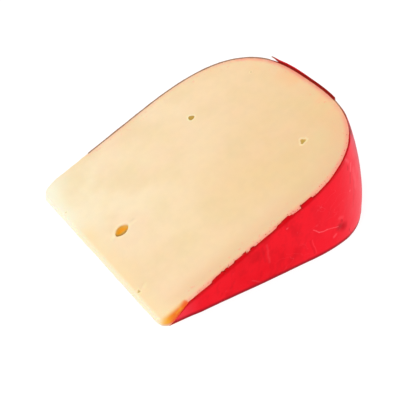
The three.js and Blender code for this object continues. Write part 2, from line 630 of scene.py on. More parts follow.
@dataclass(frozen=True)
class Pit:
    """An eye or a small hole in the top cut: its place, half lengths, depth, and how olive it looks inside.

    Its outline is an ellipse where the bend is 2, and comes to points at both ends where the bend is less.
    The cover is how fully the eye's colour hides the cheese's; in the big eye that colour holds a painted
    glow and a painted shade.
    """

    r: float
    y: float
    half_r: float
    half_y: float
    depth: float
    olive: float
    bend: float = 2.0
    turn: float = 0.0
    lobes: float = 0.0
    cover: float = 1.0

    def steps(self, points: np.ndarray) -> tuple[np.ndarray, np.ndarray]:
        """How far points are from its middle, along it and across it, in half lengths."""
        out_r, out_y = points[:, 0] - self.r, points[:, 1] - self.y
        along = (out_r * math.cos(self.turn) + out_y * math.sin(self.turn)) / self.half_r
        aside = (out_y * math.cos(self.turn) - out_r * math.sin(self.turn)) / self.half_y
        return along, aside

    def across(self, points: np.ndarray) -> np.ndarray:
        """How far points are from its middle, where its edge is at 1."""
        along, aside = self.steps(points)
        uneven = 1 + self.lobes * np.sin(3 * np.arctan2(aside, along) + self.r)
        return (np.abs(along) ** self.bend + np.abs(aside) ** self.bend) ** (1 / self.bend) / uneven

    def mesh_points(self) -> np.ndarray:
        """Rings of points, closer together at its edge.

        Returns:
            Rows of r and y.
        """
        middle = np.array([[self.r, self.y]])
        rings = [middle]
        count = max(12, round(2 * math.pi * max(self.half_r, self.half_y) / 0.3))
        for index, share in enumerate((0.3, 0.55, 0.75, 0.88, 0.96, 1.02, 1.1, 1.25)):
            turn = (np.arange(count) + 0.5 * (index % 2)) * (2 * math.pi / count)
            ring = middle + np.stack([self.half_r * np.cos(turn), self.half_y * np.sin(turn)], axis=1)
            rings.append(middle + (ring - middle) * (share / self.across(ring))[:, None])
        return np.concatenate(rings)


@dataclass(frozen=True)
class Crack:
    """A short crack in the top cut, with the cheese lifted a little along one side of it."""

    start: tuple[float, float]
    end: tuple[float, float]
    half_width: float
    depth: float
    lift: float

    def measure(self, points: np.ndarray) -> tuple[np.ndarray, np.ndarray]:
        """Where points are along the crack, from 0 to 1, and how far to its near side.

        Args:
            points: rows of r and y.

        Returns:
            The share along it, and the distance across it.
        """
        start = np.array(self.start)
        run = np.array(self.end) - start
        length = np.hypot(*run)
        ahead = (points - start) @ run / length**2
        aside = (points - start) @ np.array([run[1], -run[0]]) / length
        return ahead, aside

    def mesh_points(self) -> np.ndarray:
        """Rows of points along the crack, closer together at its bottom.

        Returns:
            Rows of r and y.
        """
        start = np.array(self.start)
        run = np.array(self.end) - start
        length = np.hypot(*run)
        sideways = np.array([run[1], -run[0]]) / length
        rows = []
        for offset in (-3.0, -1.6, -0.9, 0.0, 0.9, 1.6, 3.0):
            along = np.linspace(-0.05, 1.05, round(length / 0.25))[:, None]
            rows.append(start + along * run + offset * self.half_width * sideways)
        return np.concatenate(rows)


@dataclass
class CheesePaste:
    """The cheese itself: the whole wedge inside the wax, with its eyes, cracks, blunt tip and bare rind."""

    form: WedgeForm
    pits: tuple[Pit, ...] = (
        Pit(r=22.2, y=0.75, half_r=3.45, half_y=2.75, depth=2.8, olive=0.0, bend=1.8, turn=0.2),
        Pit(r=78.8, y=27.5, half_r=1.4, half_y=1.5, depth=0.9, olive=0.65, turn=0.4, lobes=0.08),
        Pit(
            r=101.1,
            y=-25.8,
            half_r=1.25,
            half_y=1.45,
            depth=0.6,
            olive=0.5,
            turn=-0.78,
            lobes=0.22,
            cover=0.35,
        ),
        Pit(r=10.4, y=-31.6, half_r=0.75, half_y=0.9, depth=0.25, olive=0.5, lobes=0.15, cover=0.22),
        Pit(r=112.6, y=26.2, half_r=0.4, half_y=0.4, depth=0.3, olive=0.5, cover=0.2),
        Pit(r=10.2, y=30.8, half_r=0.6, half_y=0.4, depth=0.15, olive=0.5, cover=0.15),
    )
    cracks: tuple[Crack, ...] = (
        Crack(start=(25.9, 1.3), end=(30.4, 1.3), half_width=0.4, depth=0.12, lift=0.09),
        Crack(start=(18.8, 0.1), end=(16.4, -1.3), half_width=0.3, depth=0.1, lift=0.07),
        Crack(start=(11.2, -31.4), end=(14.4, -29.5), half_width=0.15, depth=0.06, lift=0.1),
    )
    seed: int = 7
    top_spacing: float = 0.8
    base_spacing: float = 1.6
    edge_round: float = 0.22
    rows: int = 30
    nose_wobble: float = 0.14
    rind_wobble: float = 0.22
    wave_height: float = 0.12
    wave_length: float = 22.0
    lip_height: float = 0.05
    skin_reach: tuple[float, float] = (0.2, 3.0)
    rim_points: int = 900
    counts: dict[str, int] = field(
        default_factory=lambda: {"nose": 150, "corner": 8, "near": 90, "shoulder": 130, "far": 70, "chip": 18}
    )

    def outline(self, share: float) -> np.ndarray:
        """The closed outline of the cheese on a cut, counter-clockwise from the tip's near corner.

        Args:
            share: the cut's share of the wedge's angle.

        Returns:
            Rows of r and y.
        """
        form, counts = self.form, self.counts
        tip = float(form.nose(share))
        bare = form.half - form.wax
        corner = bezier((tip, form.near_corner - bare), (tip, -bare), (tip + form.near_corner, -bare))
        chip = bezier(
            (tip + form.chip_along, bare),
            (tip + form.chip_bulge, bare - form.chip_bulge),
            (tip, bare - form.chip_across),
        )
        near = form.shoulder_line(form.near, -1, form.wax)
        far = form.shoulder_line(form.far, 1, form.wax)[::-1]
        stretches = (
            (corner, counts["corner"]),
            (np.array([corner[-1], near[0]]), counts["near"]),
            (near, counts["shoulder"]),
            (far, counts["shoulder"]),
            (np.array([far[-1], chip[0]]), counts["far"]),
            (chip, counts["chip"]),
            (np.array([chip[-1], corner[0]]), counts["nose"]),
        )
        loop = np.concatenate([spread_evenly(points, count)[:-1] for points, count in stretches])
        return loop + self.wobble(loop, share)[:, None] * self.outward(loop)

    @staticmethod
    def outward(loop: np.ndarray) -> np.ndarray:
        """The direction out of a closed outline at each of its points.

        Args:
            loop: rows of r and y, counter-clockwise.

        Returns:
            One unit vector for each point.
        """
        along = np.roll(loop, -1, axis=0) - np.roll(loop, 1, axis=0)
        normal = np.stack([along[:, 1], -along[:, 0]], axis=1)
        return normal / np.linalg.norm(normal, axis=1)[:, None]

    def bareness(self, r: np.ndarray, y: np.ndarray, share: float | np.ndarray) -> np.ndarray:
        """How bare of wax points are: 1 well clear of the wax's torn edge, 0 under the wax."""
        edge = np.where(y < 0, self.form.near_torn.at(share), self.form.far_torn.at(share))
        return smooth_step(edge - r, -0.4, 1.2)

    def wobble(self, loop: np.ndarray, share: float) -> np.ndarray:
        """How far the bare sides and the tip stand out, because no knife left them quite even.

        Args:
            loop: rows of r and y.
            share: the cut's share of the wedge's angle.

        Returns:
            One distance for each point.
        """
        r, y = loop.T
        at = self.form.place(r, y, share * self.form.cut_angle)
        side = smooth_step(r, self.form.tip_reach + 1.0, self.form.tip_reach + 3.0)
        height = self.nose_wobble + (self.rind_wobble - self.nose_wobble) * side
        uneven = smooth_noise(at, 5.0, self.seed) + 0.5 * smooth_noise(at, 1.3, self.seed + 3)
        bulge = self.form.far_bulge * side * (y > 0)
        return ((uneven - 0.4) * height + bulge) * self.bareness(r, y, share)

    def rings(self) -> list[dict[str, np.ndarray]]:
        """The side's rings of points from the base to the top cut, with rounded edges.

        Returns:
            For each ring, its points' r, y, turn, rise and share of the wedge's angle.
        """
        angle, rounding = self.form.cut_angle, self.edge_round
        rings = []
        bends = [math.radians(step) for step in (30, 60, 90)]
        for bend in reversed(bends):
            rings.append(self.bent_ring(0.0, bend, 1.0))
        for row in range(self.rows):
            share = row / (self.rows - 1)
            r, y = self.outline(share).T
            low = rounding / r
            turn = low + (angle - 2 * low) * share
            sunk = -share * self.form.sag(r, y)
            rings.append({"r": r, "y": y, "turn": turn, "rise": sunk, "share": np.full(len(r), share)})
        for bend in bends:
            rings.append(self.bent_ring(1.0, bend, -1.0))
        return rings

    def bent_ring(self, share: float, bend: float, inward: float) -> dict[str, np.ndarray]:
        """One ring on the rounded edge between the side and a cut face.

        Args:
            share: the cut face's share of the wedge's angle.
            bend: how far round the edge the ring lies.
            inward: 1 where the cheese is above the cut, -1 where it is below.

        Returns:
            The ring's r, y, turn, rise and share.
        """
        loop = self.outline(share)
        loop = loop - self.edge_round * (1 - math.cos(bend)) * self.outward(loop)
        r, y = loop.T
        rise = inward * self.edge_round * (1 - math.sin(bend)) - share * self.form.sag(r, y)
        full = np.full(len(r), share)
        return {"r": r, "y": y, "turn": full * self.form.cut_angle, "rise": rise, "share": full}

    def inside(self, points: np.ndarray, loop: np.ndarray) -> np.ndarray:
        """Which points are inside an outline.

        Args:
            points: rows of r and y.
            loop: the outline.

        Returns:
            True for each point inside.
        """
        within = np.zeros(len(points), dtype=bool)
        for (r0, y0), (r1, y1) in zip(loop, np.roll(loop, -1, axis=0)):
            if y0 != y1:
                crosses = (y0 > points[:, 1]) != (y1 > points[:, 1])
                at = r0 + (points[:, 1] - y0) * (r1 - r0) / (y1 - y0)
                within ^= crosses & (points[:, 0] < at)
        return within

    def cap_points(self, loop: np.ndarray, spacing: float, details: np.ndarray) -> np.ndarray:
        """Points that fill a cut face.

        Args:
            loop: the face's outline.
            spacing: how far apart the points are.
            details: points that eyes and cracks need.

        Returns:
            Rows of r and y, with the details first.
        """
        low, high = loop.min(axis=0), loop.max(axis=0)
        columns = np.arange(low[0], high[0], spacing)
        lines = np.arange(low[1], high[1], spacing * math.sqrt(0.75))
        grid_r, grid_y = np.meshgrid(columns, lines)
        grid_r = grid_r + 0.5 * spacing * (np.arange(len(lines)) % 2)[:, None]
        points = np.stack([grid_r.ravel(), grid_y.ravel()], axis=1)
        random = np.random.default_rng(self.seed)
        points = points + random.uniform(-0.15, 0.15, points.shape) * spacing
        points = points[self.inside(points, loop)]
        points = points[nearest(points, loop) > 0.6 * spacing]
        if len(details):
            points = points[nearest(points, details) > 0.45 * spacing]
        return np.concatenate([details.reshape(-1, 2), points])

    def relief(self, points: np.ndarray, edge: np.ndarray) -> np.ndarray:
        """How far the top cut stands above a true plane.

        Args:
            points: rows of r and y.
            edge: each point's distance from the cut's outline.

        Returns:
            One height for each point.
        """
        flat = np.column_stack([points, np.zeros(len(points))])
        waves = smooth_noise(flat, self.wave_length, self.seed + 5)
        rise = self.wave_height * waves * smooth_step(edge, 0.0, 4.0)
        rise -= self.form.sag(*points.T)
        for pit in self.pits:
            across = pit.across(points)
            bowl = np.sqrt(np.clip(1 - across**2, 0.0, 1.0))
            lip = np.exp(-(((across - 1.12) / 0.12) ** 2))
            rise += np.where(across < 1, -pit.depth * bowl, self.lip_height * lip)
        for crack in self.cracks:
            ahead, aside = crack.measure(points)
            along = np.clip(np.minimum(ahead + 0.1, 1.05 - ahead) * 4, 0.0, 1.0)
            groove = np.clip(1 - np.abs(aside) / (1.4 * crack.half_width), 0.0, 1.0)
            lifted = np.exp(-aside / 0.9) * smooth_step(aside, 0.0, 0.3) * (aside > 0)
            rise += along * (crack.lift * lifted - crack.depth * groove)
        return rise

    def marks(self, points: np.ndarray) -> dict[str, np.ndarray]:
        """What the finish needs to know about the top cut's eyes and cracks.

        Args:
            points: rows of r and y.

        Returns:
            The attributes eye; olive, which also carries the painted shade in the big eye; and the painted
            highlights beside the eyes and cracks with the painted shade in the cracks; one value for each
            point.
        """
        eye = np.zeros(len(points))
        olive = np.zeros(len(points))
        highlight_and_shade = np.zeros(len(points))
        for pit in self.pits:
            across = pit.across(points)
            along, aside = pit.steps(points)
            deep = np.sqrt(np.clip(1 - across**2, 0.0, 1.0))
            eye = np.maximum(eye, pit.cover * deep * (1 - 0.4 * smooth_step(along, 0.3, 0.8)))
            # Painted shade in the big eye's deep part beyond its near rim, carried in the olive attribute.
            shaded = smooth_step(-aside - 0.25 * along, -0.52, -0.05) * smooth_step(along, 0.8, 0.3)
            shaded *= 1 - pit.olive
            olive = np.where(across < 1.3, np.maximum(pit.olive, shaded), olive)
            # Painted highlight: a pale ring on each eye's raised lip.
            highlight_and_shade += (0.4 + 0.4 * pit.olive) * np.exp(-(((across - 1.2) / 0.22) ** 2))
        for crack in self.cracks:
            ahead, aside = crack.measure(points)
            along = np.clip(np.minimum(ahead + 0.1, 1.2 - ahead) * 2, 0.0, 1.0)
            # Painted highlight on the lifted cheese beside the crack, and painted shade in the crack.
            pale = np.exp(-(((aside - 1.2) / 1.0) ** 2))
            dark = np.exp(-((aside / (2.0 * crack.half_width)) ** 2))
            highlight_and_shade += along * (0.45 * pale - 0.5 * dark)
        return {"eye": eye, "olive": olive, "highlight_and_shade": highlight_and_shade}

    def build(self, finish: bpy.types.Material) -> bpy.types.Object:
        """Builds the cheese.

        Args:
            finish: the cheese's material.

        Returns:
            The closed piece, in metres.
        """
        rings = self.rings()
        size = len(rings[0]["r"])
        details = np.concatenate([thing.mesh_points() for thing in (*self.pits, *self.cracks)])
        top_loop = np.stack([rings[-1]["r"], rings[-1]["y"]], axis=1)
        base_loop = np.stack([rings[0]["r"], rings[0]["y"]], axis=1)
        details = details[self.inside(details, top_loop)]
        details = details[nearest(details, top_loop) > 0.2]
        caps = (
            (top_loop, self.cap_points(top_loop, self.top_spacing, details), 1.0, (len(rings) - 1) * size),
            (base_loop, self.cap_points(base_loop, self.base_spacing, np.empty((0, 2))), 0.0, 0),
        )
        sheets = list(rings)
        faces = self.side_faces(len(rings), size)
        total = len(rings) * size
        for loop, points, share, first in caps:
            edge = nearest(points, loop)
            rise = self.relief(points, edge) if share else np.zeros(len(points))
            full = np.full(len(points), share)
            r, y = points.T
            sheets.append({"r": r, "y": y, "turn": full * self.form.cut_angle, "rise": rise, "share": full})
            numbers = np.concatenate([first + np.arange(size), total + np.arange(len(points))])
            triangles = numbers[self.triangulate(loop, points)]
            faces.extend(triangles.tolist() if share else triangles[:, ::-1].tolist())
            total += len(points)
        merged = {key: np.concatenate([sheet[key] for sheet in sheets]) for key in sheets[0]}
        return self.to_object(merged, faces, finish)

    @staticmethod
    def side_faces(rings: int, size: int) -> list[list[int]]:
        """The quads between the side's rings.

        Args:
            rings: how many rings there are.
            size: how many points each has.

        Returns:
            The corners of each quad.
        """
        here = np.arange(size)
        after = np.roll(here, -1)
        quads = []
        for ring in range(rings - 1):
            low, high = ring * size, (ring + 1) * size
            quads.append(np.stack([low + here, low + after, high + after, high + here], axis=1))
        return np.concatenate(quads).tolist()

    @staticmethod
    def triangulate(loop: np.ndarray, points: np.ndarray) -> np.ndarray:
        """Triangles over an outline and the points inside it.

        Args:
            loop: the outline.
            points: the points inside.

        Returns:
            The triangles' corners, with the outline's points counted first.
        """
        size = len(loop)
        edges = [(index, (index + 1) % size) for index in range(size)]
        flat = [Vector(point) for point in np.concatenate([loop, points])]
        _, _, triangles, origins, _, _ = delaunay_2d_cdt(flat, edges, [], 1, 1e-5)
        order = np.array([origin[0] for origin in origins])
        return order[np.array([list(triangle) for triangle in triangles])]

    def to_object(
        self, at: dict[str, np.ndarray], faces: list[list[int]], finish: bpy.types.Material
    ) -> bpy.types.Object:
        """Makes the mesh and stores what its finish reads.

        Args:
            at: each point's r, y, turn, rise and share.
            faces: the faces' corners.
            finish: the material.

        Returns:
            The piece.
        """
        form = self.form
        flat = np.stack([at["r"], at["y"]], axis=1)
        mesh = bpy.data.meshes.new("cheese_paste")
        mesh.from_pydata((form.place(at["r"], at["y"], at["turn"], at["rise"]) * MM).tolist(), [], faces)
        mesh.materials.append(finish)
        mesh.shade_smooth()
        rind = np.zeros(len(flat))
        for share in np.unique(at["share"]):
            here = at["share"] == share
            waxed = form.rim_line(form.near_torn.at(share), form.far_torn.at(share), form.wax)
            rind[here] = nearest(flat[here], spread_evenly(waxed, self.rim_points))
        on_top = (at["share"] == 1.0).astype(float)
        for name, values in self.marks(flat).items():
            store(mesh, name, values * on_top)
        bare = self.bareness(at["r"], at["y"], at["share"])
        edge_gap = form.half - form.wax - np.abs(at["y"])
        store(mesh, "rind_gap", rind)
        store(mesh, "tip_gap", at["r"] - form.nose(at["share"]))
        store(mesh, "side_skin", bare * (1 - smooth_step(edge_gap, *self.skin_reach)))
        return linked("cheese_paste", mesh)


# The wax


@dataclass(frozen=True)
class Flap:
    """A stretch of the wax's top edge that the knife left standing or chipped: where it runs and how high."""

    start: float
    end: float
    first: float
    last: float

    def rise(self, r: np.ndarray) -> np.ndarray:
        """How high the edge stands at distances from the axis."""
        share = (r - self.start) / (self.end - self.start)
        return np.where((share >= 0) & (share < 1), self.first + (self.last - self.first) * share, 0.0)


@dataclass(frozen=True)
class Dent:
    """A shallow round dent in the near side's wax."""

    x: float = 28.6
    z: float = 8.7
    half: float = 2.3
    depth: float = 0.2


@dataclass
class WaxCoat:
    """The coat of red wax round the wheel's sides and rim, torn off beside the tip."""

    form: WedgeForm
    thickness: float = 0.85
    stations: int = 640
    rows: int = 62
    crowding: float = 1.2
    near_begin: float = 8.0
    far_begin: float = 20.0
    line_spacing: float = 0.25
    floor_gap: float = 0.06
    edge_uneven: float = 0.05
    edge_waves: tuple[float, float] = (1.6, 7.0)
    lean: float = 0.8
    lean_height: float = 1.2
    tuck: float = 0.35
    tuck_height: float = 0.9
    tear: float = 2.0
    tear_scale: float = 0.6
    lump_height: float = 0.3
    lump_scale: float = 0.07
    ripple_height: float = 0.07
    ripple_scale: float = 0.35
    bevel: float = 0.12
    seed: int = 5
    dent: Dent = Dent()
    flaps: tuple[Flap, ...] = (
        Flap(34.0, 36.5, 0.3, 0.5),
        Flap(36.5, 39.2, 0.42, 0.5),
        Flap(40.1, 41.3, 0.5, 0.5),
        Flap(41.3, 45.3, 0.2, 0.25),
        Flap(45.3, 50.4, 0.45, 0.36),
        Flap(53.2, 54.6, 0.35, 0.3),
        Flap(66.7, 69.1, 0.35, 0.4),
        Flap(69.1, 72.8, 0.5, 0.7),
        Flap(72.8, 74.3, 0.3, 0.25),
        Flap(75.8, 79.3, -0.15, -0.3),
        Flap(79.3, 84.8, 0.55, 0.5),
    )
    rim_lowered: float = 0.3
    rim_fade: tuple[float, float] = (114.0, 121.0)
    rim_end: tuple[float, float] = (24.0, 26.0)
    rim_share: float = 0.8
    side_share: float = 0.6
    notch_y: float = -24.0
    notch_half: float = 3.3
    notch_depth: float = 0.3
    pinch_y: float = -35.8
    pinch_half: float = 5.6
    pinch_depth: float = 0.5
    swell_places: tuple[float, ...] = (12.0, 20.0, 26.0, 56.0, 100.0, 107.0, 113.0, 120.0)
    swell_sizes: tuple[float, ...] = (-0.6, -0.4, 0.0, 0.45, 0.45, 0.15, -0.35, 0.0)
    swell_height: float = 12.0

    def flap_rise(self, line: np.ndarray) -> np.ndarray:
        """How high the flaps stand along the coat's top edge.

        Args:
            line: rows of r and y along the coat.

        Returns:
            One height for each point.
        """
        r, y = line.T
        near = y < -self.side_share * self.form.half
        return sum(np.where(near, flap.rise(r), 0.0) for flap in self.flaps)

    def hollow(self, line: np.ndarray, middle: float, half: float) -> np.ndarray:
        """How deep inside a hollow of the rim's top edge points are.

        Args:
            line: rows of r and y along the coat.
            middle: the hollow's middle in y.
            half: half its width.

        Returns:
            For each point, 1 at the hollow's middle and 0 outside it.
        """
        r, y = line.T
        on_rim = r > self.rim_share * self.form.radius
        return np.clip(1 - np.abs(y - middle) / half, 0.0, 1.0) * on_rim

    def edge_rise(self, line: np.ndarray) -> np.ndarray:
        """How far the coat's top edge stands above the cut.

        Args:
            line: rows of r and y along the coat.

        Returns:
            One height for each point.
        """
        r, y = line.T
        spots = np.column_stack([r, y, np.zeros(len(r))])
        rise = self.flap_rise(line) - self.form.sag(r, y)
        for wave, seed in zip(self.edge_waves, (self.seed, self.seed + 2)):
            rise += self.edge_uneven * smooth_noise(spots, wave, seed)
        lowered = (1 - smooth_step(y, *self.rim_end)) * smooth_step(r, *self.rim_fade)
        notch = self.hollow(line, self.notch_y, self.notch_half)
        return rise - self.rim_lowered * lowered - self.notch_depth * np.sqrt(np.sqrt(notch))

    def bent_in(self, line: np.ndarray) -> np.ndarray:
        """How far the coat's top edge is bent inwards, by its leaning flaps and a pinch at the rim."""
        pinch = self.hollow(line, self.pinch_y, self.pinch_half)
        return self.lean * np.maximum(self.flap_rise(line), 0.0) + self.pinch_depth * np.sqrt(pinch)

    def swell(self, line: np.ndarray) -> np.ndarray:
        """How far the coat swells out beside the floor, for each point of its line."""
        r, y = line.T
        return np.where(y < 0, np.interp(r, self.swell_places, self.swell_sizes), 0.0)

    def recipe(self, length: float, finish: bpy.types.Material) -> Recipe:
        """The recipe that turns the coat's line about the wheel's axis.

        Args:
            length: the line's length.
            finish: the wax's material.

        Returns:
            The recipe.
        """
        form = self.form
        tree = Recipe("wax_coat")
        angle = tree.input("Cut Angle", form.cut_angle)
        axis_x = tree.input("Axis X", form.axis_x)
        stations = tree.input("Stations", self.stations, InputKind.COUNT)
        rows = tree.input("Rows", self.rows, InputKind.COUNT)
        crowding = tree.input("Crowding", self.crowding)
        torn = [
            (tree.input(f"{side} Torn Low", edge.low), tree.input(f"{side} Torn Top", edge.top))
            for side, edge in (("Near", form.near_torn), ("Far", form.far_torn))
        ]
        near_begin = tree.input("Near Begin", self.near_begin)
        far_begin = tree.input("Far Begin", length + self.far_begin)
        tear = tree.input("Tear Size", self.tear)
        tear_scale = tree.input("Tear Scale", self.tear_scale)
        floor_gap = tree.input("Floor Gap", self.floor_gap)
        seed = tree.input("Seed", self.seed, InputKind.COUNT)
        grid, u, v = tree.sheet(stations, rows)
        v = tree.fade(v, 0.0, 1.0)
        ends = []
        for index, (low, top) in enumerate(torn):
            straight = tree.math("DIVIDE", tree.math("MULTIPLY", low, top), tree.between(v, top, low))
            height = tree.math("MULTIPLY", v, form.near_torn.top)
            spot = tree.joined(height, float(index * 9), 0.0)
            ragged = tree.math("SUBTRACT", tree.noise(spot, tear_scale, 4.0, seed), 0.5)
            ends.append(tree.math("MULTIPLY_ADD", ragged, tear, straight))
        first = tree.math("SUBTRACT", ends[0], near_begin)
        last = tree.math("SUBTRACT", far_begin, ends[1])
        station = tree.between(tree.math("POWER", u, crowding), first, last)
        curve = tree.node("GeometryNodeMeshToCurve", {"Mesh": tree.geometry}).outputs[0]
        samples = []
        for name in ("edge_rise", "bent_in", "swell"):
            held = tree.node("GeometryNodeInputNamedAttribute", {"Name": name}, data_type="FLOAT")
            inputs = {"Curves": curve, "Value": held.outputs[0], "Length": station}
            samples.append(tree.node("GeometryNodeSampleCurve", inputs, mode="LENGTH", use_all_curves=True))
        rise, bent, swell = (sample.outputs[0] for sample in samples)
        r, y, _ = tree.parts(samples[0].outputs["Position"])
        top = tree.math("ADD", angle, tree.math("DIVIDE", rise, r))
        low = tree.math("DIVIDE", floor_gap, r)
        turn = tree.between(v, low, top)
        height = tree.math("MULTIPLY", r, turn)
        inward = self.inward(tree, bent, height, tree.math("MULTIPLY", r, top))
        low_down = tree.fade(height, tree.input("Swell Height", self.swell_height), 1.0)
        inward = tree.math("SUBTRACT", inward, tree.math("MULTIPLY", swell, low_down))
        tangent_r, tangent_y, _ = tree.parts(samples[0].outputs["Tangent"])
        r = tree.math("SUBTRACT", r, tree.math("MULTIPLY", inward, tangent_y))
        y = tree.math("MULTIPLY_ADD", inward, tangent_r, y)
        x = tree.math("MULTIPLY_ADD", r, tree.math("COSINE", turn), axis_x)
        z = tree.math("MULTIPLY", r, tree.math("SINE", turn))
        inputs = {"Geometry": grid, "Position": tree.joined(x, y, z)}
        shaped = tree.node("GeometryNodeSetPosition", inputs).outputs[0]
        tree.finish(self.uneven(tree, shaped, seed), finish)
        return tree

    def inward(self, tree: Recipe, bent: Feed, height: Feed, top: Feed) -> bpy.types.NodeSocket:
        """How far the coat is bent inwards: its top edge as the line says, and its lower edge is tucked in.

        Args:
            tree: the recipe.
            bent: how far the top edge is bent inwards.
            height: how high a point is above the floor.
            top: how high the top edge is above the floor.

        Returns:
            The distance's socket.
        """
        lean_height = tree.input("Lean Height", self.lean_height)
        tuck = tree.input("Tuck", self.tuck)
        tuck_height = tree.input("Tuck Height", self.tuck_height)
        below = tree.math("SUBTRACT", top, height)
        leaning = tree.math("MULTIPLY", bent, tree.fade(below, lean_height, 0.0))
        low = tree.math("MAXIMUM", tree.math("SUBTRACT", 1.0, tree.math("DIVIDE", height, tuck_height)), 0.0)
        return tree.math("MULTIPLY_ADD", tree.math("POWER", low, 2.0), tuck, leaning)

    def uneven(self, tree: Recipe, shape: Feed, seed: Feed) -> bpy.types.NodeSocket:
        """Adds the lumps and ripples of hand-dipped wax, and the dent.

        Args:
            tree: the recipe.
            shape: the smooth coat.
            seed: the recipe's seed.

        Returns:
            The uneven coat.
        """
        place = tree.node("GeometryNodeInputPosition").outputs[0]
        height: Feed = 0.0
        for name, size, scale in (
            ("Lump", self.lump_height, self.lump_scale),
            ("Ripple", self.ripple_height, self.ripple_scale),
        ):
            tall = tree.input(f"{name} Height", size)
            wave = tree.input(f"{name} Scale", scale)
            swell = tree.math("SUBTRACT", tree.noise(place, wave, 1.0, seed), 0.5)
            height = tree.math("MULTIPLY_ADD", swell, tall, height)
        x, y, z = tree.parts(place)
        from_x = tree.math("SUBTRACT", x, tree.input("Dent X", self.dent.x))
        from_z = tree.math("SUBTRACT", z, tree.input("Dent Z", self.dent.z))
        squared = tree.math("MULTIPLY_ADD", from_x, from_x, tree.math("MULTIPLY", from_z, from_z))
        away = tree.math("SQRT", squared)
        near = tree.math("LESS_THAN", y, 0.0)
        hollow = tree.math("MULTIPLY", near, tree.fade(away, tree.input("Dent Size", self.dent.half), 0.0))
        depth = tree.input("Dent Depth", self.dent.depth)
        height = tree.math("SUBTRACT", height, tree.math("MULTIPLY", hollow, depth))
        normal = tree.node("GeometryNodeInputNormal").outputs[0]
        offset = tree.scaled(normal, height)
        return tree.node("GeometryNodeSetPosition", {"Geometry": shape, "Offset": offset}).outputs[0]

    def build(self, finish: bpy.types.Material, cut_finish: bpy.types.Material) -> bpy.types.Object:
        """Builds the coat.

        Args:
            finish: the wax's material.
            cut_finish: the material of its cut and torn edges.

        Returns:
            The closed piece, in metres.
        """
        line = self.form.rim_line(self.near_begin, self.far_begin)
        length = float(np.linalg.norm(np.diff(line, axis=0), axis=1).sum())
        line = spread_evenly(line, round(length / self.line_spacing))
        points = np.column_stack([line, np.zeros(len(line))])
        source = line_mesh(
            "wax_coat_line",
            points,
            edge_rise=self.edge_rise(line),
            bent_in=self.bent_in(line),
            swell=self.swell(line),
        )
        piece = self.recipe(length, finish).make("wax_coat", source)
        return thickened(piece, self.thickness, self.bevel, cut_finish)


def thickened(
    piece: bpy.types.Object, thickness: float, bevel: float, edge: bpy.types.Material
) -> bpy.types.Object:
    """Gives a sheet of wax its thickness, with softened edges, and scales it to metres.

    Args:
        piece: the sheet, in millimetres.
        thickness: how thick it gets, inwards.
        bevel: how far its edges are softened.
        edge: the material of its edges and its inner face.

    Returns:
        The closed piece.
    """
    piece.data.materials.append(edge)
    solid = piece.modifiers.new("thickness", "SOLIDIFY")
    solid.thickness = thickness
    solid.offset = -1.0
    solid.material_offset = 1
    solid.material_offset_rim = 1
    soft = piece.modifiers.new("soft_edges", "BEVEL")
    soft.width = bevel
    soft.segments = 2
    soft.limit_method = "ANGLE"
    soft.angle_limit = SHARP_ANGLE
    soft.use_clamp_overlap = False
    soft.harden_normals = False
    return scaled_to_metres(made_plain(piece))


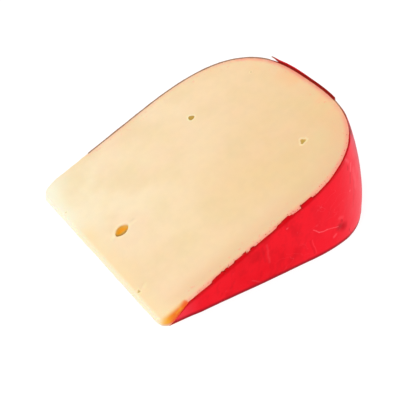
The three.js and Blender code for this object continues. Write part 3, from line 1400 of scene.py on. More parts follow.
@dataclass
class WaxLip:
    """The lip of wax that the knife turned up along the rim, with a loose sliver at its far end."""

    form: WedgeForm
    near_end: float = -19.1
    far_end: float = 24.6
    joined: float = 0.87
    depth: float = 0.9
    height: float = 0.48
    flare: float = 0.25
    curl: float = 1.8
    growth_reach: tuple[float, float] = (0.3, 0.7)
    far_growth: float = 0.8
    set_in: float = -0.25
    gap: float = 0.9
    lift: float = 0.3
    thinned: float = 0.2
    ragged: float = 0.15
    ragged_scale: float = 0.3
    thickness: float = 0.29
    stations: int = 220
    rows: int = 12
    bevel: float = 0.08
    rim_share: float = 0.7
    rim_points: int = 3000
    seed: int = 3

    def line(self) -> np.ndarray:
        """The line of the rim's top edge that the lip follows, from its near end.

        Returns:
            Rows of X, Y and Z.
        """
        rim = self.form.rim_line(self.form.near_torn.top, self.form.far_torn.top)
        rim = spread_evenly(rim, self.rim_points)
        on_rim = rim[:, 0] > self.rim_share * self.form.radius
        part = rim[on_rim & (rim[:, 1] > self.near_end) & (rim[:, 1] < self.far_end)]
        return self.form.place(part[:, 0], part[:, 1], self.form.cut_angle)

    def recipe(self, finish: bpy.types.Material) -> Recipe:
        """The recipe that sweeps the lip's curl along the rim.

        Args:
            finish: the wax's material.

        Returns:
            The recipe.
        """
        tree = Recipe("wax_lip")
        angle = self.form.cut_angle
        up = tree.input("Up", (-math.sin(angle), 0.0, math.cos(angle)), InputKind.DIRECTION)
        stations = tree.input("Stations", self.stations, InputKind.COUNT)
        rows = tree.input("Rows", self.rows, InputKind.COUNT)
        depth = tree.input("Depth", self.depth)
        height = tree.input("Height", self.height)
        growth = tree.input("Far Growth", self.far_growth)
        flare = tree.input("Flare", self.flare)
        set_in = tree.input("Set In", self.set_in)
        joined = tree.input("Joined Share", self.joined)
        gap = tree.input("Sliver Gap", self.gap)
        lift = tree.input("Sliver Lift", self.lift)
        ragged = tree.input("Ragged Height", self.ragged)
        ragged_scale = tree.input("Ragged Scale", self.ragged_scale)
        seed = tree.input("Seed", self.seed, InputKind.COUNT)
        grid, u, v = tree.sheet(stations, rows)
        curve = tree.node("GeometryNodeMeshToCurve", {"Mesh": tree.geometry}).outputs[0]
        inputs = {"Curves": curve, "Factor": u}
        sample = tree.node("GeometryNodeSampleCurve", inputs, mode="FACTOR", use_all_curves=True)
        rim = sample.outputs["Position"]
        out = tree.vector_math("NORMALIZE", tree.vector_math("CROSS_PRODUCT", sample.outputs["Tangent"], up))
        loose = tree.fade(u, joined, 1.0)
        bumps = tree.math("SUBTRACT", tree.noise(rim, ragged_scale, 3.0, seed), 0.5)
        grown = tree.fade(u, *self.growth_reach)
        tall = tree.math("MULTIPLY", height, tree.math("MULTIPLY_ADD", grown, growth, 1.0))
        tall = tree.math("MULTIPLY_ADD", bumps, ragged, tall)
        top = tree.between(loose, tall, tree.math("MULTIPLY_ADD", tall, self.thinned, lift))
        foot = tree.between(loose, tree.math("MULTIPLY", depth, -1.0), lift)
        rise = tree.between(v, foot, top)
        curl = tree.math("MULTIPLY", flare, tree.math("POWER", v, self.curl))
        away = tree.math("ADD", tree.math("MULTIPLY", gap, loose), tree.math("SUBTRACT", curl, set_in))
        offset = tree.vector_math("ADD", tree.scaled(out, away), tree.scaled(up, rise))
        inputs = {"Geometry": grid, "Position": tree.vector_math("ADD", rim, offset)}
        tree.finish(tree.node("GeometryNodeSetPosition", inputs).outputs[0], finish)
        return tree

    def build(self, finish: bpy.types.Material, cut_finish: bpy.types.Material) -> bpy.types.Object:
        """Builds the lip as a closed piece, in metres."""
        piece = self.recipe(finish).make("wax_lip", line_mesh("wax_lip_line", self.line()))
        return thickened(piece, self.thickness, self.bevel, cut_finish)


@dataclass
class WaxCrumbs:
    """Crumbs and flakes of wax that the knife left on the top cut beside the near side's wax."""

    form: WedgeForm
    start: float = 24.0
    end: float = 116.0
    inner: float = 1.5
    steps: int = 60
    density: float = 0.4
    size: float = 0.16
    smallest: float = 0.5
    flattest: float = 0.4
    largest: tuple[float, float, float] = (2.2, 1.2, 1.0)
    tilt: float = 0.4
    seed: int = 9

    def strip(self) -> bpy.types.Mesh:
        """The narrow strip of the top cut that the crumbs lie on.

        Returns:
            The strip as a row of quads, in millimetres.
        """
        form = self.form
        rows = []
        for inset in (form.wax, form.wax + self.inner):
            line = form.rim_line(self.start, form.far_torn.top, inset)
            line = line[(line[:, 1] < 0) & (line[:, 0] <= self.end)]
            r, y = spread_evenly(line, self.steps).T
            rows.append(form.place(r, y, form.cut_angle, -form.sag(r, y)))
        quads = [(i, i + 1, self.steps + i + 1, self.steps + i) for i in range(self.steps - 1)]
        mesh = bpy.data.meshes.new("wax_crumbs_strip")
        mesh.from_pydata(np.concatenate(rows).tolist(), [], quads)
        return mesh

    def recipe(self, finish: bpy.types.Material) -> Recipe:
        """The recipe that scatters the crumbs over the strip.

        Args:
            finish: the wax's material.

        Returns:
            The recipe.
        """
        tree = Recipe("wax_crumbs")
        seed = tree.input("Seed", self.seed, InputKind.COUNT)
        scattered = tree.node(
            "GeometryNodeDistributePointsOnFaces",
            {"Mesh": tree.geometry, "Density": tree.input("Density", self.density), "Seed": seed},
        )
        inputs = {"Radius": tree.input("Crumb Size", self.size), "Subdivisions": 1}
        crumb = tree.node("GeometryNodeMeshIcoSphere", inputs)
        least = tree.input("Smallest", self.smallest)
        flat = tree.input("Flattest", self.flattest)
        ranges = {
            "Scale": (tree.joined(least, least, flat), self.largest),
            "Rotation": ((-self.tilt, -self.tilt, 0.0), (self.tilt, self.tilt, 2 * math.pi)),
        }
        inputs = {"Points": scattered.outputs["Points"], "Instance": crumb.outputs["Mesh"]}
        for name, (low, high) in ranges.items():
            limits = {"Min": low, "Max": high, "Seed": seed}
            drawn = tree.node("FunctionNodeRandomValue", limits, data_type="FLOAT_VECTOR")
            inputs[name] = drawn.outputs[0]
        tree.finish(tree.node("GeometryNodeInstanceOnPoints", inputs).outputs[0], finish)
        return tree

    def build(self, finish: bpy.types.Material) -> bpy.types.Object:
        """Builds all the crumbs as one piece, in metres."""
        return scaled_to_metres(self.recipe(finish).make("wax_crumbs", self.strip()))


# Finishes


@dataclass(frozen=True)
class PasteFinish:
    """The look of the cheese: pale at the tip, warmer towards the rim, pink beside the wax, with painted
    light and shade among its tones.

    Each fade is given by where it starts and ends, and where it has them by its strengths at both.
    """

    # Partly the cheese's own tone and partly painted light: the near side and the rim are painted darker
    # where less light falls.
    tip_far: Colour = Colour(251, 234, 200)
    tip_near: Colour = Colour(247, 220, 178)
    rim_far: Colour = Colour(244, 212, 168)
    rim_near: Colour = Colour(233, 198, 146)
    corner: Colour = Colour(248, 244, 220)
    deep: Colour = Colour(240, 200, 140)
    greenish: Colour = Colour(230, 210, 160)
    pinkish: Colour = Colour(245, 208, 175)
    glow: Colour = Colour(252, 142, 126)
    warm: Colour = Colour(246, 196, 146)
    # Painted shade: a darker strip of the top cut along the near side's wax.
    near_edge_shade: Colour = Colour(226, 190, 150)
    # Painted glow: the blunt tip painted paler, for the light through the thin cheese.
    nose: Colour = Colour(246, 234, 200)
    foot: Colour = Colour(248, 240, 222)
    # Painted glow: a yellower strip of the top cut beside the blunt tip, for the light through the thin
    # cheese.
    tip_glow: Colour = Colour(251, 222, 172)
    skin: Colour = Colour(234, 114, 0)
    skin_pale: Colour = Colour(236, 168, 34)
    # Painted shade: the bare rind just above the floor, greyer and darker.
    rind_floor_shade: Colour = Colour(228, 200, 164)
    torn: Colour = Colour(232, 84, 20)
    # Partly painted glow: the bright orange inside the big eye, over its own tone, stands for light scattered
    # through the cheese.
    eye: Colour = Colour(244, 162, 0)
    eye_edge: Colour = Colour(234, 184, 86)
    olive: Colour = Colour(198, 164, 78)
    # Painted shade: the deep part of the big eye just beyond its near rim.
    shade: Colour = Colour(178, 128, 44)
    # Painted highlight: pale cheese on the eyes' lips and beside the cracks.
    pale: Colour = Colour(255, 243, 196)
    # Painted shade in the cracks.
    crack: Colour = Colour(222, 200, 162)
    roughness: float = 0.5
    roughness_spread: float = 0.16
    specular: float = 0.25
    subsurface: float = 0.3
    subsurface_radius: tuple[float, float, float] = (1.0, 0.55, 0.25)
    subsurface_depth: float = 1.5
    drag_waves: tuple[float, float, float] = (0.12, 1.4, 0.12)
    along_reach: tuple[float, float] = (-62.0, 48.0)
    across_reach: tuple[float, float] = (48.0, -48.0)
    warm_gap: tuple[float, float] = (13.0, 1.0)
    warm_y: tuple[float, ...] = (40.0, 5.0, 0.25, 1.0)
    warm_x: tuple[float, ...] = (20.0, 42.0, 1.0, 2.2)
    near_edge_shade_gap: tuple[float, ...] = (12.0, 2.0, 0.0, 0.45)
    near_edge_shade_y: tuple[float, float] = (-15.0, -35.0)
    near_edge_shade_x: tuple[float, float] = (-54.0, -40.0)
    glow_gap: tuple[float, ...] = (2.6, 0.0, 0.0, 0.95)
    glow_y: tuple[float, ...] = (30.0, 50.0, 1.0, 0.35)
    notch_y: tuple[tuple[float, float], ...] = ((-33.0, -27.0), (-16.0, -20.0))
    notch_x: tuple[float, float] = (30.0, 36.0)
    speck_gap: tuple[tuple[float, ...], ...] = ((7.0, 3.0), (0.5, 2.0, 0.0, 0.4))
    tip_glow_gap: tuple[float, float] = (9.0, 1.0)
    nose_glow_gap: tuple[float, ...] = (1.6, 0.0, 0.0, 0.9)
    foot_height: tuple[float, float] = (2.2, 0.3)
    foot_gap: tuple[float, float] = (2.0, 0.5)
    corner_strength: float = 0.75
    skin_y: tuple[float, ...] = (0.0, -20.0, 0.05, 1.0)
    skin_gap: tuple[float, float] = (1.0, 6.0)
    skin_start: tuple[float, float] = (-1.6, 0.6)
    torn_gap: tuple[float, ...] = (4.6, 0.5, 0.0, 0.9)
    rind_floor_shade_height: tuple[float, ...] = (1.8, 0.3, 0.0, 0.75)

    def material(self) -> bpy.types.Material:
        """The cheese's material."""
        graph = FinishGraph("cheese_paste")
        colour = self.body_colour(graph)
        colour = self.beside_wax(graph, colour)
        colour = self.tip_colour(graph, colour)
        colour = self.eyes(graph, colour)
        grain = graph.noise(graph.place, 0.3, 3.0, 11.0)
        curd = graph.noise(graph.place, 1.1, 3.0, 12.0)
        drag = graph.stretched(self.drag_waves, 2.0, 13.0)
        normal = graph.bump(curd, 0.08, 0.25, graph.bump(drag, 0.1, 0.16))
        stained = graph.math("MAXIMUM", graph.attribute("side_skin"), graph.attribute("eye"))
        return graph.finish(
            {
                "Base Color": colour,
                "Roughness": graph.varied(grain, self.roughness, self.roughness_spread),
                "Normal": normal,
                "Subsurface Weight": graph.fade(stained, 0.0, 0.6, self.subsurface, 0.0),
                "Subsurface Radius": self.subsurface_radius,
                "Subsurface Scale": self.subsurface_depth * MM,
                "Specular IOR Level": self.specular,
            }
        )

    def body_colour(self, graph: FinishGraph) -> bpy.types.NodeSocket:
        """The cheese's colour, with its faint blotches; its fade from the pale far tip to the darker near
        side and rim is partly the cheese's own tone and partly painted light.

        Args:
            graph: the material's graph.

        Returns:
            The colour's socket.
        """
        x, y, _ = graph.parts(graph.place)
        # Partly painted light: darker towards the rim and the near side.
        along = graph.fade(x, *self.along_reach)
        far = graph.tinted(self.tip_far.linear, self.rim_far, along)
        near = graph.tinted(self.tip_near.linear, self.rim_near, along)
        colour = graph.blend(graph.fade(y, *self.across_reach), far, near)
        for tone, scale, most, seed in (
            (self.deep, 0.03, 0.25, 1.0),
            (self.pinkish, 0.045, 0.3, 14.0),
            (self.greenish, 0.06, 0.3, 2.0),
        ):
            colour = graph.tinted(colour, tone, graph.patches(scale, 3.0, seed, 0.42, 0.68, 0.0, most))
        curd = graph.patches(0.25, 4.0, 3.0, 0.35, 0.65, 0.985, 1.008)
        return graph.blend(1.0, colour, graph.joined(curd, curd, curd), "MULTIPLY")

    def beside_wax(self, graph: FinishGraph, colour: Feed) -> bpy.types.NodeSocket:
        """Lays the warm band, a painted shade in a strip along the near side, and the pink glow beside the
        wax over a colour.

        Args:
            graph: the material's graph.
            colour: the colour under it.

        Returns:
            The colour's socket.
        """
        gap = graph.attribute("rind_gap")
        x, y, _ = graph.parts(graph.place)
        patch = graph.patches(0.09, 3.0, 15.0, 0.35, 0.65, 0.1, 0.45)
        warm = (graph.fade(y, *self.warm_y), graph.fade(x, *self.warm_x), graph.fade(gap, *self.warm_gap))
        colour = graph.tinted(colour, self.warm, patch, *warm)
        # Painted shade along the near side's wax.
        near_edge_shade = (graph.fade(gap, *self.near_edge_shade_gap), graph.fade(y, *self.near_edge_shade_y), graph.fade(x, *self.near_edge_shade_x))
        colour = graph.tinted(colour, self.near_edge_shade, *near_edge_shade)
        start, end = (graph.fade(y, *reach) for reach in self.notch_y)
        beside = graph.math("MULTIPLY", graph.math("MULTIPLY", start, end), graph.fade(x, *self.notch_x))
        weaker = graph.math("MULTIPLY_ADD", beside, -0.5, 1.0)
        patch = graph.patches(0.28, 3.0, 4.0, 0.3, 0.7, 0.6, 1.0)
        glow = (graph.fade(y, *self.glow_y), weaker, graph.fade(gap, *self.glow_gap))
        colour = graph.tinted(colour, self.glow, patch, *glow)
        strip = [graph.fade(gap, *reach) for reach in self.speck_gap]
        for tone, seed in ((self.greenish, 5.0), (self.glow, 16.0)):
            colour = graph.tinted(colour, tone, graph.patches(0.6, 2.0, seed, 0.62, 0.72), *strip)
        return colour

    def tip_colour(self, graph: FinishGraph, colour: Feed) -> bpy.types.NodeSocket:
        """Lays over a colour the blunt tip, painted paler and yellower as a glow of light through the thin
        cheese, the orange bare rind, and a painted shade on the rind just above the floor.

        Args:
            graph: the material's graph.
            colour: the colour under it.

        Returns:
            The colour's socket.
        """
        gap = graph.attribute("tip_gap")
        _, y, height = graph.parts(graph.place)
        # Painted glow at the thin tip: paler, yellower cheese for the light through it.
        tip_glow = graph.patches(0.1, 3.0, 17.0, 0.3, 0.7, 0.3, 0.8)
        colour = graph.tinted(colour, self.tip_glow, tip_glow, graph.fade(gap, *self.tip_glow_gap))
        colour = graph.tinted(colour, self.nose, graph.fade(gap, *self.nose_glow_gap))
        foot = (graph.fade(height, *self.foot_height), graph.fade(gap, *self.foot_gap))
        colour = graph.tinted(colour, self.foot, *foot)
        for far_y, reach in (((8.0, 30.0), 9.0), ((34.0, 50.0), 18.0)):
            near_tip = graph.fade(gap, reach, 0.5, 0.0, self.corner_strength)
            colour = graph.tinted(colour, self.corner, graph.fade(y, *far_y), near_tip)
        skin = graph.math("MULTIPLY", graph.attribute("side_skin"), graph.fade(y, *self.skin_y))
        strong = (graph.patches(0.35, 3.0, 6.0, 0.2, 0.6), graph.fade(skin, 0.3, 0.9))
        orange = graph.tinted(self.skin_pale.linear, self.skin, graph.fade(gap, *self.skin_gap), *strong)
        cover = graph.math("MULTIPLY", skin, graph.fade(gap, *self.skin_start))
        colour = graph.blend(cover, colour, orange)
        # The first tone is the rind's own deeper orange beside the torn wax; the second is painted shade just
        # above the floor.
        for value, reach, tone in (
            (graph.attribute("rind_gap"), self.torn_gap, self.torn),
            (height, self.rind_floor_shade_height, self.rind_floor_shade),
        ):
            colour = graph.tinted(colour, tone, graph.fade(value, *reach), graph.fade(skin, 0.0, 0.5))
        return colour

    def eyes(self, graph: FinishGraph, colour: Feed) -> bpy.types.NodeSocket:
        """Colours the eyes, with a painted glow and a painted shade inside the big one, the cracks with
        painted shade, and the cheese beside them with painted highlights.

        Args:
            graph: the material's graph.
            colour: the colour under it.

        Returns:
            The colour's socket.
        """
        highlight_and_shade, deep, olive = (graph.attribute(name) for name in ("highlight_and_shade", "eye", "olive"))
        # Painted highlights beside the eyes and cracks, and painted shade in the cracks.
        colour = graph.tinted(colour, self.pale, graph.fade(highlight_and_shade, 0.0, 1.0, 0.0, 0.8))
        colour = graph.tinted(colour, self.crack, graph.fade(highlight_and_shade, 0.0, -1.0, 0.0, 0.9))
        # Inside an eye: the bright orange is partly a painted glow of light through the cheese, and the last
        # tone is painted shade in the big eye's deep part.
        inside = graph.tinted(self.eye_edge.linear, self.eye, graph.fade(deep, 0.2, 0.7))
        inside = graph.tinted(inside, self.olive, graph.fade(olive, 0.0, 0.5))
        inside = graph.tinted(inside, self.shade, graph.fade(olive, 0.5, 1.0))
        return graph.blend(graph.fade(deep, 0.02, 0.3), colour, inside)


@dataclass(frozen=True)
class Stroke:
    """A mark on the near side's wax: its ends in x and z, half its width, and how strongly it shows."""

    start: tuple[float, float]
    end: tuple[float, float]
    half_width: float
    strength: float

    def mask(self, graph: FinishGraph, flat: Feed) -> bpy.types.NodeSocket:
        """Where the stroke shows.

        Args:
            graph: the material's graph.
            flat: the place with its y left out.

        Returns:
            How strongly it shows, from 0 to its strength.
        """
        (start_x, start_z), (end_x, end_z) = self.start, self.end
        run = (end_x - start_x, 0.0, end_z - start_z)
        away = graph.vector_math("SUBTRACT", flat, (start_x, 0.0, start_z))
        ahead = graph.node("ShaderNodeVectorMath", {0: away, 1: run}, operation="DOT_PRODUCT")
        length = max(math.hypot(*run), self.half_width)
        inputs = {0: ahead.outputs["Value"], 1: 1 / length**2}
        share = graph.node("ShaderNodeMath", inputs, operation="MULTIPLY", use_clamp=True).outputs[0]
        aside = graph.vector_math("SUBTRACT", away, graph.scaled(run, share))
        gap = graph.node("ShaderNodeVectorMath", {0: aside}, operation="LENGTH").outputs["Value"]
        return graph.fade(gap, self.half_width, 0.0, 0.0, self.strength)


@dataclass(frozen=True)
class WaxFinish:
    """The look of the red wax: deep red, softly glossy, with faint pink scuffs and scratches.

    Each fade is given by where it starts and ends, and where it has them by its strengths at both.
    """

    cut_angle: float
    axis_x: float
    red: Colour = Colour(228, 6, 26)
    light: Colour = Colour(237, 14, 33)
    dark: Colour = Colour(202, 0, 20)
    # Painted light: the near side's red lighter towards the rim and the tip.
    lit_red: Colour = Colour(242, 20, 41)
    # Painted sheen: the pink reflection on the rim where it turns away, also laid near the tip.
    rim_sheen: Colour = Colour(247, 82, 99)
    # Painted reflection: a greyish pink along the silhouette where the near side turns into the rim.
    silhouette_sheen: Colour = Colour(198, 72, 88)
    scuff: Colour = Colour(255, 110, 120)
    # Partly scuffs and partly painted shade: the largest dark mark darkens the dent.
    dark_scuff_and_dent_shade: Colour = Colour(190, 0, 22)
    shadow: Colour = Colour(150, 12, 28)
    # Painted shade: a deeper red just below the near side's top edge, on the shaded side of its standing
    # flaps.
    edge: Colour = Colour(196, 0, 8)
    # Painted shade: a brownish band just below the top edge at the rim's notch.
    notch: Colour = Colour(146, 62, 54)
    mottle: float = 0.3
    roughness: float = 0.42
    roughness_spread: float = 0.2
    specular: float = 0.05
    smear_waves: tuple[float, float, float] = (0.14, 0.14, 0.1)
    speckle_waves: tuple[float, float, float] = (0.4, 0.4, 0.25)
    scratch_waves: tuple[float, float, float] = (0.11, 0.11, 0.2)
    lit_reach: tuple[float, float] = (-4.0, 22.0)
    lit_tip_reach: tuple[float, float] = (-34.0, -52.0)
    rim_sheen_reach: tuple[float, ...] = (22.0, 60.0, 0.0, 0.9)
    tip_sheen_reach: tuple[float, ...] = (-40.0, -54.0, 0.0, 0.4)
    silhouette_sheen_reach: tuple[float, ...] = (-44.5, -37.5, 0.0, 0.7)
    shown_y: tuple[float, float] = (-25.0, -40.0)
    foot_reach: tuple[float, ...] = (2.6, 0.8, 0.0, 0.95)
    edge_shade_reach: tuple[float, ...] = (-2.2, -0.5, 0.0, 0.75)
    edge_shade_end: tuple[float, float] = (-44.0, -50.0)
    notch_shade_reach: tuple[float, ...] = (-3.5, -1.5, 0.0, 0.9)
    notch_fade: tuple[float, float] = (-40.5, -38.0)
    near_reach: tuple[float, float] = (6.0, 0.0)
    wander: float = 1.2
    light_strokes: tuple[Stroke, ...] = (
        Stroke((12.9, 15.5), (15.7, 12.7), 0.45, 0.45),
        Stroke((15.7, 12.7), (19.9, 12.0), 0.5, 0.5),
        Stroke((19.9, 12.0), (26.5, 10.2), 0.35, 0.4),
        Stroke((27.0, 14.2), (29.0, 13.2), 1.3, 0.15),
        Stroke((23.8, 6.2), (25.0, 6.8), 1.0, 0.3),
        Stroke((12.2, 10.4), (14.6, 2.9), 0.4, 0.15),
        Stroke((-10.2, 18.6), (-8.7, 9.5), 1.0, 0.1),
        Stroke((-0.5, 22.3), (-0.1, 22.3), 0.6, 0.5),
        Stroke((-17.3, 4.4), (-12.8, 0.6), 0.4, 0.2),
        Stroke((34.0, 23.4), (34.2, 23.4), 0.7, 0.5),
        Stroke((33.8, 2.5), (35.5, 5.6), 0.5, 0.2),
        Stroke((35.8, 34.8), (35.2, 31.8), 0.9, 0.45),
        Stroke((32.0, 39.0), (34.0, 36.5), 1.3, 0.25),
        Stroke((37.4, 31.0), (39.0, 22.0), 1.6, 0.2),
    )
    dark_strokes: tuple[Stroke, ...] = (
        # Painted shade in the dent.
        Stroke((27.6, 9.4), (29.8, 8.2), 3.2, 1.0),
        Stroke((28.2, 12.4), (28.8, 11.6), 0.9, 0.5),
        Stroke((33.4, 4.6), (34.4, 2.0), 0.6, 0.5),
        Stroke((33.0, 35.0), (33.2, 33.8), 0.9, 0.5),
        Stroke((34.8, 31.4), (34.2, 26.4), 0.6, 0.4),
        Stroke((37.6, 25.8), (36.6, 14.0), 1.2, 0.15),
        Stroke((11.2, 10.4), (13.6, 2.9), 0.7, 0.3),
        Stroke((-12.4, 18.4), (-10.8, 10.6), 1.1, 0.3),
    )

    def material(self) -> bpy.types.Material:
        """The material of the wax's outer face."""
        graph = FinishGraph("red_wax")
        colour = self.body_colour(graph)
        colour = self.sheen_and_edge_shade(graph, colour)
        colour = graph.tinted(colour, self.scuff, self.scratches(graph))
        colour = self.strokes(graph, colour)
        foot = graph.fade(graph.parts(graph.place)[2], *self.foot_reach)
        colour = graph.tinted(colour, self.shadow, foot)
        grain = graph.noise(graph.place, 0.2, 3.0, 24.0)
        normal = graph.bump(graph.noise(graph.place, 0.14, 2.0, 25.0), 0.5, 0.5)
        normal = graph.bump(graph.noise(graph.place, 0.9, 3.0, 26.0), 0.06, 0.5, normal)
        return graph.finish(
            {
                "Base Color": colour,
                "Roughness": graph.varied(grain, self.roughness, self.roughness_spread),
                "Normal": normal,
                "Specular IOR Level": self.specular,
            }
        )

    def body_colour(self, graph: FinishGraph) -> bpy.types.NodeSocket:
        """The wax's red, with its smears and speckles, and painted light that makes the near side lighter
        towards the rim and towards the tip.

        Args:
            graph: the material's graph.

        Returns:
            The colour's socket.
        """
        colour = graph.tinted(self.red.linear, self.light, graph.patches(0.035, 2.0, 21.0, 0.4, 0.62))
        for tone, seed in ((self.dark, 22.0), (self.light, 30.0)):
            smear = graph.stretched(self.smear_waves, 3.0, seed)
            colour = graph.tinted(colour, tone, graph.fade(smear, 0.48, 0.66, 0.0, 0.5))
        speckle = graph.stretched(self.speckle_waves, 4.0, 36.0)
        colour = graph.tinted(colour, self.dark, graph.fade(speckle, 0.48, 0.66, 0.0, self.mottle))
        x = graph.parts(graph.place)[0]
        # Painted light: lighter towards the rim and towards the tip.
        for reach in (self.lit_reach, self.lit_tip_reach):
            colour = graph.tinted(colour, self.lit_red, graph.fade(x, *reach, 0.0, 0.7))
        return colour

    def sheen_and_edge_shade(self, graph: FinishGraph, colour: Feed) -> bpy.types.NodeSocket:
        """Lays over a colour, as far as the rim's middle, a painted sheen on the rim, near the tip and along
        the near side's silhouette, and painted shade below the near side's top edge and at the rim's notch.

        Args:
            graph: the material's graph.
            colour: the colour under it.

        Returns:
            The colour's socket.
        """
        x, y, _ = graph.parts(graph.place)
        shown = graph.fade(y, *self.shown_y)
        # Painted sheen near the tip, on the rim and along the near side's silhouette.
        for part, reach, tone in (
            (x, self.tip_sheen_reach, self.rim_sheen),
            (x, self.rim_sheen_reach, self.rim_sheen),
            (y, self.silhouette_sheen_reach, self.silhouette_sheen),
        ):
            colour = graph.tinted(colour, tone, graph.fade(part, *reach), shown)
        above = graph.above_cut(self.cut_angle, self.axis_x)
        # Painted shade below the near side's top edge and at the rim's notch.
        for reach, end, tone in (
            (self.edge_shade_reach, self.edge_shade_end, self.edge),
            (self.notch_shade_reach, self.notch_fade, self.notch),
        ):
            colour = graph.tinted(colour, tone, graph.fade(above, *reach), graph.fade(y, *end), shown)
        return colour

    def strokes(self, graph: FinishGraph, colour: Feed) -> bpy.types.NodeSocket:
        """Lays the near side's single marks over a colour, with lines that wander a little: pale and dark
        scuffs, and painted shade in the dent.

        Args:
            graph: the material's graph.
            colour: the colour under it.

        Returns:
            The colour's socket.
        """
        x, y, z = graph.parts(graph.place)
        wandering = []
        for part, seed in ((x, 33.0), (z, 34.0)):
            shift = graph.math("SUBTRACT", graph.noise(graph.place, 0.3, 3.0, seed), 0.5)
            wandering.append(graph.math("MULTIPLY_ADD", shift, self.wander, part))
        flat = graph.joined(wandering[0], 0.0, wandering[1])
        near = graph.fade(y, *self.near_reach)
        for strokes, tone in ((self.dark_strokes, self.dark_scuff_and_dent_shade), (self.light_strokes, self.scuff)):
            for stroke in strokes:
                colour = graph.tinted(colour, tone, stroke.mask(graph, flat), near)
        return colour

    def scratches(self, graph: FinishGraph) -> bpy.types.NodeSocket:
        """Where the wax is scuffed and scratched all over.

        Args:
            graph: the material's graph.

        Returns:
            How strongly it shows, from 0 to 1.
        """
        lines = graph.stretched(self.scratch_waves, 2.0, 28.0)
        ridge = graph.math("ABSOLUTE", graph.math("SUBTRACT", lines, 0.5))
        somewhere = graph.patches(0.05, 2.0, 27.0, 0.48, 0.62, 0.0, 0.2)
        arcs = graph.math("MULTIPLY", graph.fade(ridge, 0.01, 0.0), somewhere)
        dabs = graph.patches(0.5, 3.0, 29.0, 0.68, 0.78, 0.0, 0.35)
        return graph.math("MAXIMUM", arcs, dabs)


@dataclass(frozen=True)
class CutWaxFinish:
    """The look of the wax where it is cut or torn through: dark red, with painted shade on the rim, brown on
    the far side, and brown painted shade at the rim's notches.
    """

    cut_angle: float
    axis_x: float
    red: Colour = Colour(178, 0, 4)
    light: Colour = Colour(206, 6, 12)
    rim: Colour = Colour(186, 16, 16)
    # Painted shade: the cut wax darker from the rim onwards, on the lip and the coat's top edge.
    dark: Colour = Colour(156, 32, 20)
    fold: Colour = Colour(160, 0, 6)
    raised: Colour = Colour(205, 24, 38)
    torn: Colour = Colour(198, 14, 24)
    # Brown on the far side; at the rim's notches it is painted shade.
    brown_and_notch_shade: Colour = Colour(160, 120, 92)
    roughness: float = 0.5
    specular: float = 0.1
    torn_reach: tuple[float, float] = (-0.9, -2.2)
    raised_reach: tuple[float, float] = (0.1, 0.5)
    rim_y: tuple[float, float] = (-50.0, -43.0)
    rim_shade_y: tuple[float, float] = (-41.0, -35.0)
    far_y: tuple[float, float] = (20.0, 26.0)
    fold_y: tuple[float, float] = (-44.0, -49.0)
    lip_y: tuple[float, float] = (-6.0, 8.0)
    notches: tuple[tuple[float, float, float], ...] = ((-21.8, 3.6, 1.0), (-29.5, 8.0, 0.35))
    notch_fade: float = 1.8

    def material(self) -> bpy.types.Material:
        """The material of the wax's edges."""
        graph = FinishGraph("cut_wax")
        y = graph.parts(graph.place)[1]
        above = graph.above_cut(self.cut_angle, self.axis_x)
        patch = graph.patches(0.4, 3.0, 31.0, 0.35, 0.65)
        colour = graph.tinted(self.red.linear, self.light, patch)
        colour = graph.tinted(colour, self.rim, graph.fade(y, *self.rim_y))
        # Painted shade on the rim's cut wax.
        colour = graph.tinted(colour, self.dark, graph.fade(y, *self.rim_shade_y))
        colour = graph.tinted(colour, self.torn, graph.fade(above, *self.torn_reach))
        raised = graph.fade(above, *self.raised_reach)
        for place, tone in ((self.fold_y, self.fold), (self.lip_y, self.raised)):
            colour = graph.tinted(colour, tone, raised, graph.fade(y, *place))
        brown_and_notch_shade = graph.fade(y, *self.far_y)
        # Painted shade at the rim's notches.
        for middle, half, most in self.notches:
            away = graph.math("ABSOLUTE", graph.math("SUBTRACT", y, middle))
            brown_and_notch_shade = graph.math("MAXIMUM", brown_and_notch_shade, graph.fade(away, half, half - self.notch_fade, 0.0, most))
        return graph.finish(
            {
                "Base Color": graph.tinted(colour, self.brown_and_notch_shade, brown_and_notch_shade),
                "Roughness": self.roughness,
                "Normal": graph.bump(graph.noise(graph.place, 2.0, 3.0, 32.0), 0.05, 0.6),
                "Specular IOR Level": self.specular,
            }
        )


@dataclass(frozen=True)
class StudioFinish:
    """The plain white of the floor and the backdrop, which glow a little so that no shadow is hard."""

    white: Colour = Colour(150, 150, 150)
    glow: float = 0.75
    roughness: float = 0.8
    specular: float = 0.1

    def material(self) -> bpy.types.Material:
        """The material of the floor and the backdrop."""
        graph = FinishGraph("studio_white")
        fleck = graph.patches(0.02, 2.0, 41.0, 0.3, 0.7, 0.99, 1.0)
        colour = graph.blend(1.0, self.white.linear, graph.joined(fleck, fleck, fleck), "MULTIPLY")
        return graph.finish(
            {
                "Base Color": colour,
                "Roughness": self.roughness,
                "Specular IOR Level": self.specular,
                "Emission Color": WHITE,
                "Emission Strength": self.glow,
            }
        )


# Camera and studio


@dataclass
class Camera:
    """The camera: where it stands, in millimetres, and where it looks, in degrees."""

    place: tuple[float, float, float] = (-193.9, -310.6, 282.5)
    azimuth: float = 30.94
    down: float = 37.23
    roll: float = -3.13
    lens: float = 95.36

    def build(self) -> None:
        """Makes the camera and gives it to the scene."""
        data = bpy.data.cameras.new("camera")
        data.lens = self.lens
        data.clip_start = 0.01
        camera = linked("camera", data)
        turn = Matrix.Rotation(math.radians(-self.azimuth), 4, "Z")
        tilt = Matrix.Rotation(math.radians(90 - self.down), 4, "X")
        roll = Matrix.Rotation(math.radians(self.roll), 4, "Z")
        camera.matrix_world = Matrix.Translation(Vector(self.place) * MM) @ turn @ tilt @ roll
        bpy.context.scene.camera = camera


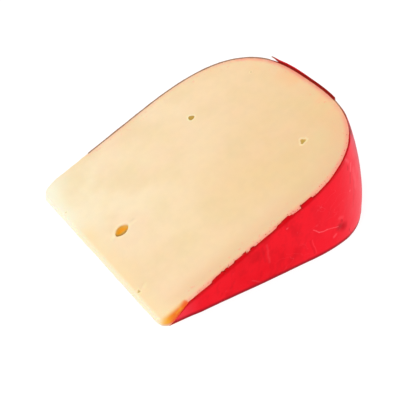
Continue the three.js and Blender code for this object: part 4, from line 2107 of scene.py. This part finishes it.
@dataclass(frozen=True)
class SoftLight:
    """A square soft light that faces the wedge: its place and width, in metres, and its power."""

    name: str
    place: tuple[float, float, float]
    width: float
    power: float

    def build(self) -> None:
        """Makes the light."""
        data = bpy.data.lights.new(self.name, "AREA")
        data.size = self.width
        data.energy = self.power
        light = linked(self.name, data)
        light.location = self.place
        light.rotation_euler = Vector(self.place).to_track_quat("Z", "Y").to_euler()


@dataclass
class Studio:
    """The white floor and backdrop, the light from all around, and the soft lights."""

    sky: float = 0.6
    floor_half: float = 4.0
    wall_height: float = 2.5
    wall_place: float = 3.6
    lights: tuple[SoftLight, ...] = (
        SoftLight("front_light", (-1.8, -1.8, 3.2), 2.8, 82.0),
        SoftLight("right_light", (3.0, -0.6, 1.6), 1.6, 32.0),
    )

    def build(self) -> None:
        """Makes the studio."""
        finish = StudioFinish().material()
        half, wall, top = self.floor_half, self.wall_place, self.wall_height
        floor = [(-half, -half, 0.0), (half, -half, 0.0), (half, half, 0.0), (-half, half, 0.0)]
        back = [(-half, wall, 0.0), (half, wall, 0.0), (half, wall, top), (-half, wall, top)]
        for name, corners in (("studio_floor", floor), ("studio_backdrop", back)):
            mesh = bpy.data.meshes.new(name)
            mesh.from_pydata(corners, [], [(0, 1, 2, 3)])
            mesh.materials.append(finish)
            piece = linked(name, mesh)
        for light in self.lights:
            light.build()
        self.sky_light()
        bpy.context.scene.view_settings.view_transform = "Standard"

    def sky_light(self) -> None:
        """Makes the even white light from all around."""
        world = bpy.data.worlds.new("studio_sky")
        world.use_nodes = True
        graph = NodeGraph(world.node_tree)
        light = graph.node("ShaderNodeBackground", {"Color": WHITE, "Strength": self.sky})
        graph.node("ShaderNodeOutputWorld", {"Surface": light.outputs[0]})
        bpy.context.scene.world = world


class Slot(Enum):
    """Material slot names that the log line shows."""

    PASTE = "cheese_paste"
    WAX = "red_wax"


def hand_over(piece: bpy.types.Object, slot: Slot) -> None:
    """Hands a finished piece to the frame and reports it.

    Args:
        piece: the finished piece.
        slot: the material slot name that the log line shows.
    """
    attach(piece, BODY)
    sides = sum(len(face.vertices) - 2 for face in piece.data.polygons)
    LOG.info("%s: %d triangles, slot %s", piece.name, sides, slot.value)


def main() -> None:
    """Builds the wedge, its finishes and its studio."""
    logging.basicConfig(level=logging.INFO, format="%(message)s")
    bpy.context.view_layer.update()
    Camera().build()
    Studio().build()
    form = WedgeForm.of_solid(SOLID)
    wax = WaxFinish(form.cut_angle, form.axis_x).material()
    cut_wax = CutWaxFinish(form.cut_angle, form.axis_x).material()
    paste = CheesePaste(form).build(PasteFinish().material())
    hand_over(paste, Slot.PASTE)
    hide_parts(SOLID)
    hand_over(WaxCoat(form).build(wax, cut_wax), Slot.WAX)
    hand_over(WaxLip(form).build(wax, cut_wax), Slot.WAX)
    hand_over(WaxCrumbs(form).build(wax), Slot.WAX)


if __name__ == "__main__":
    main()
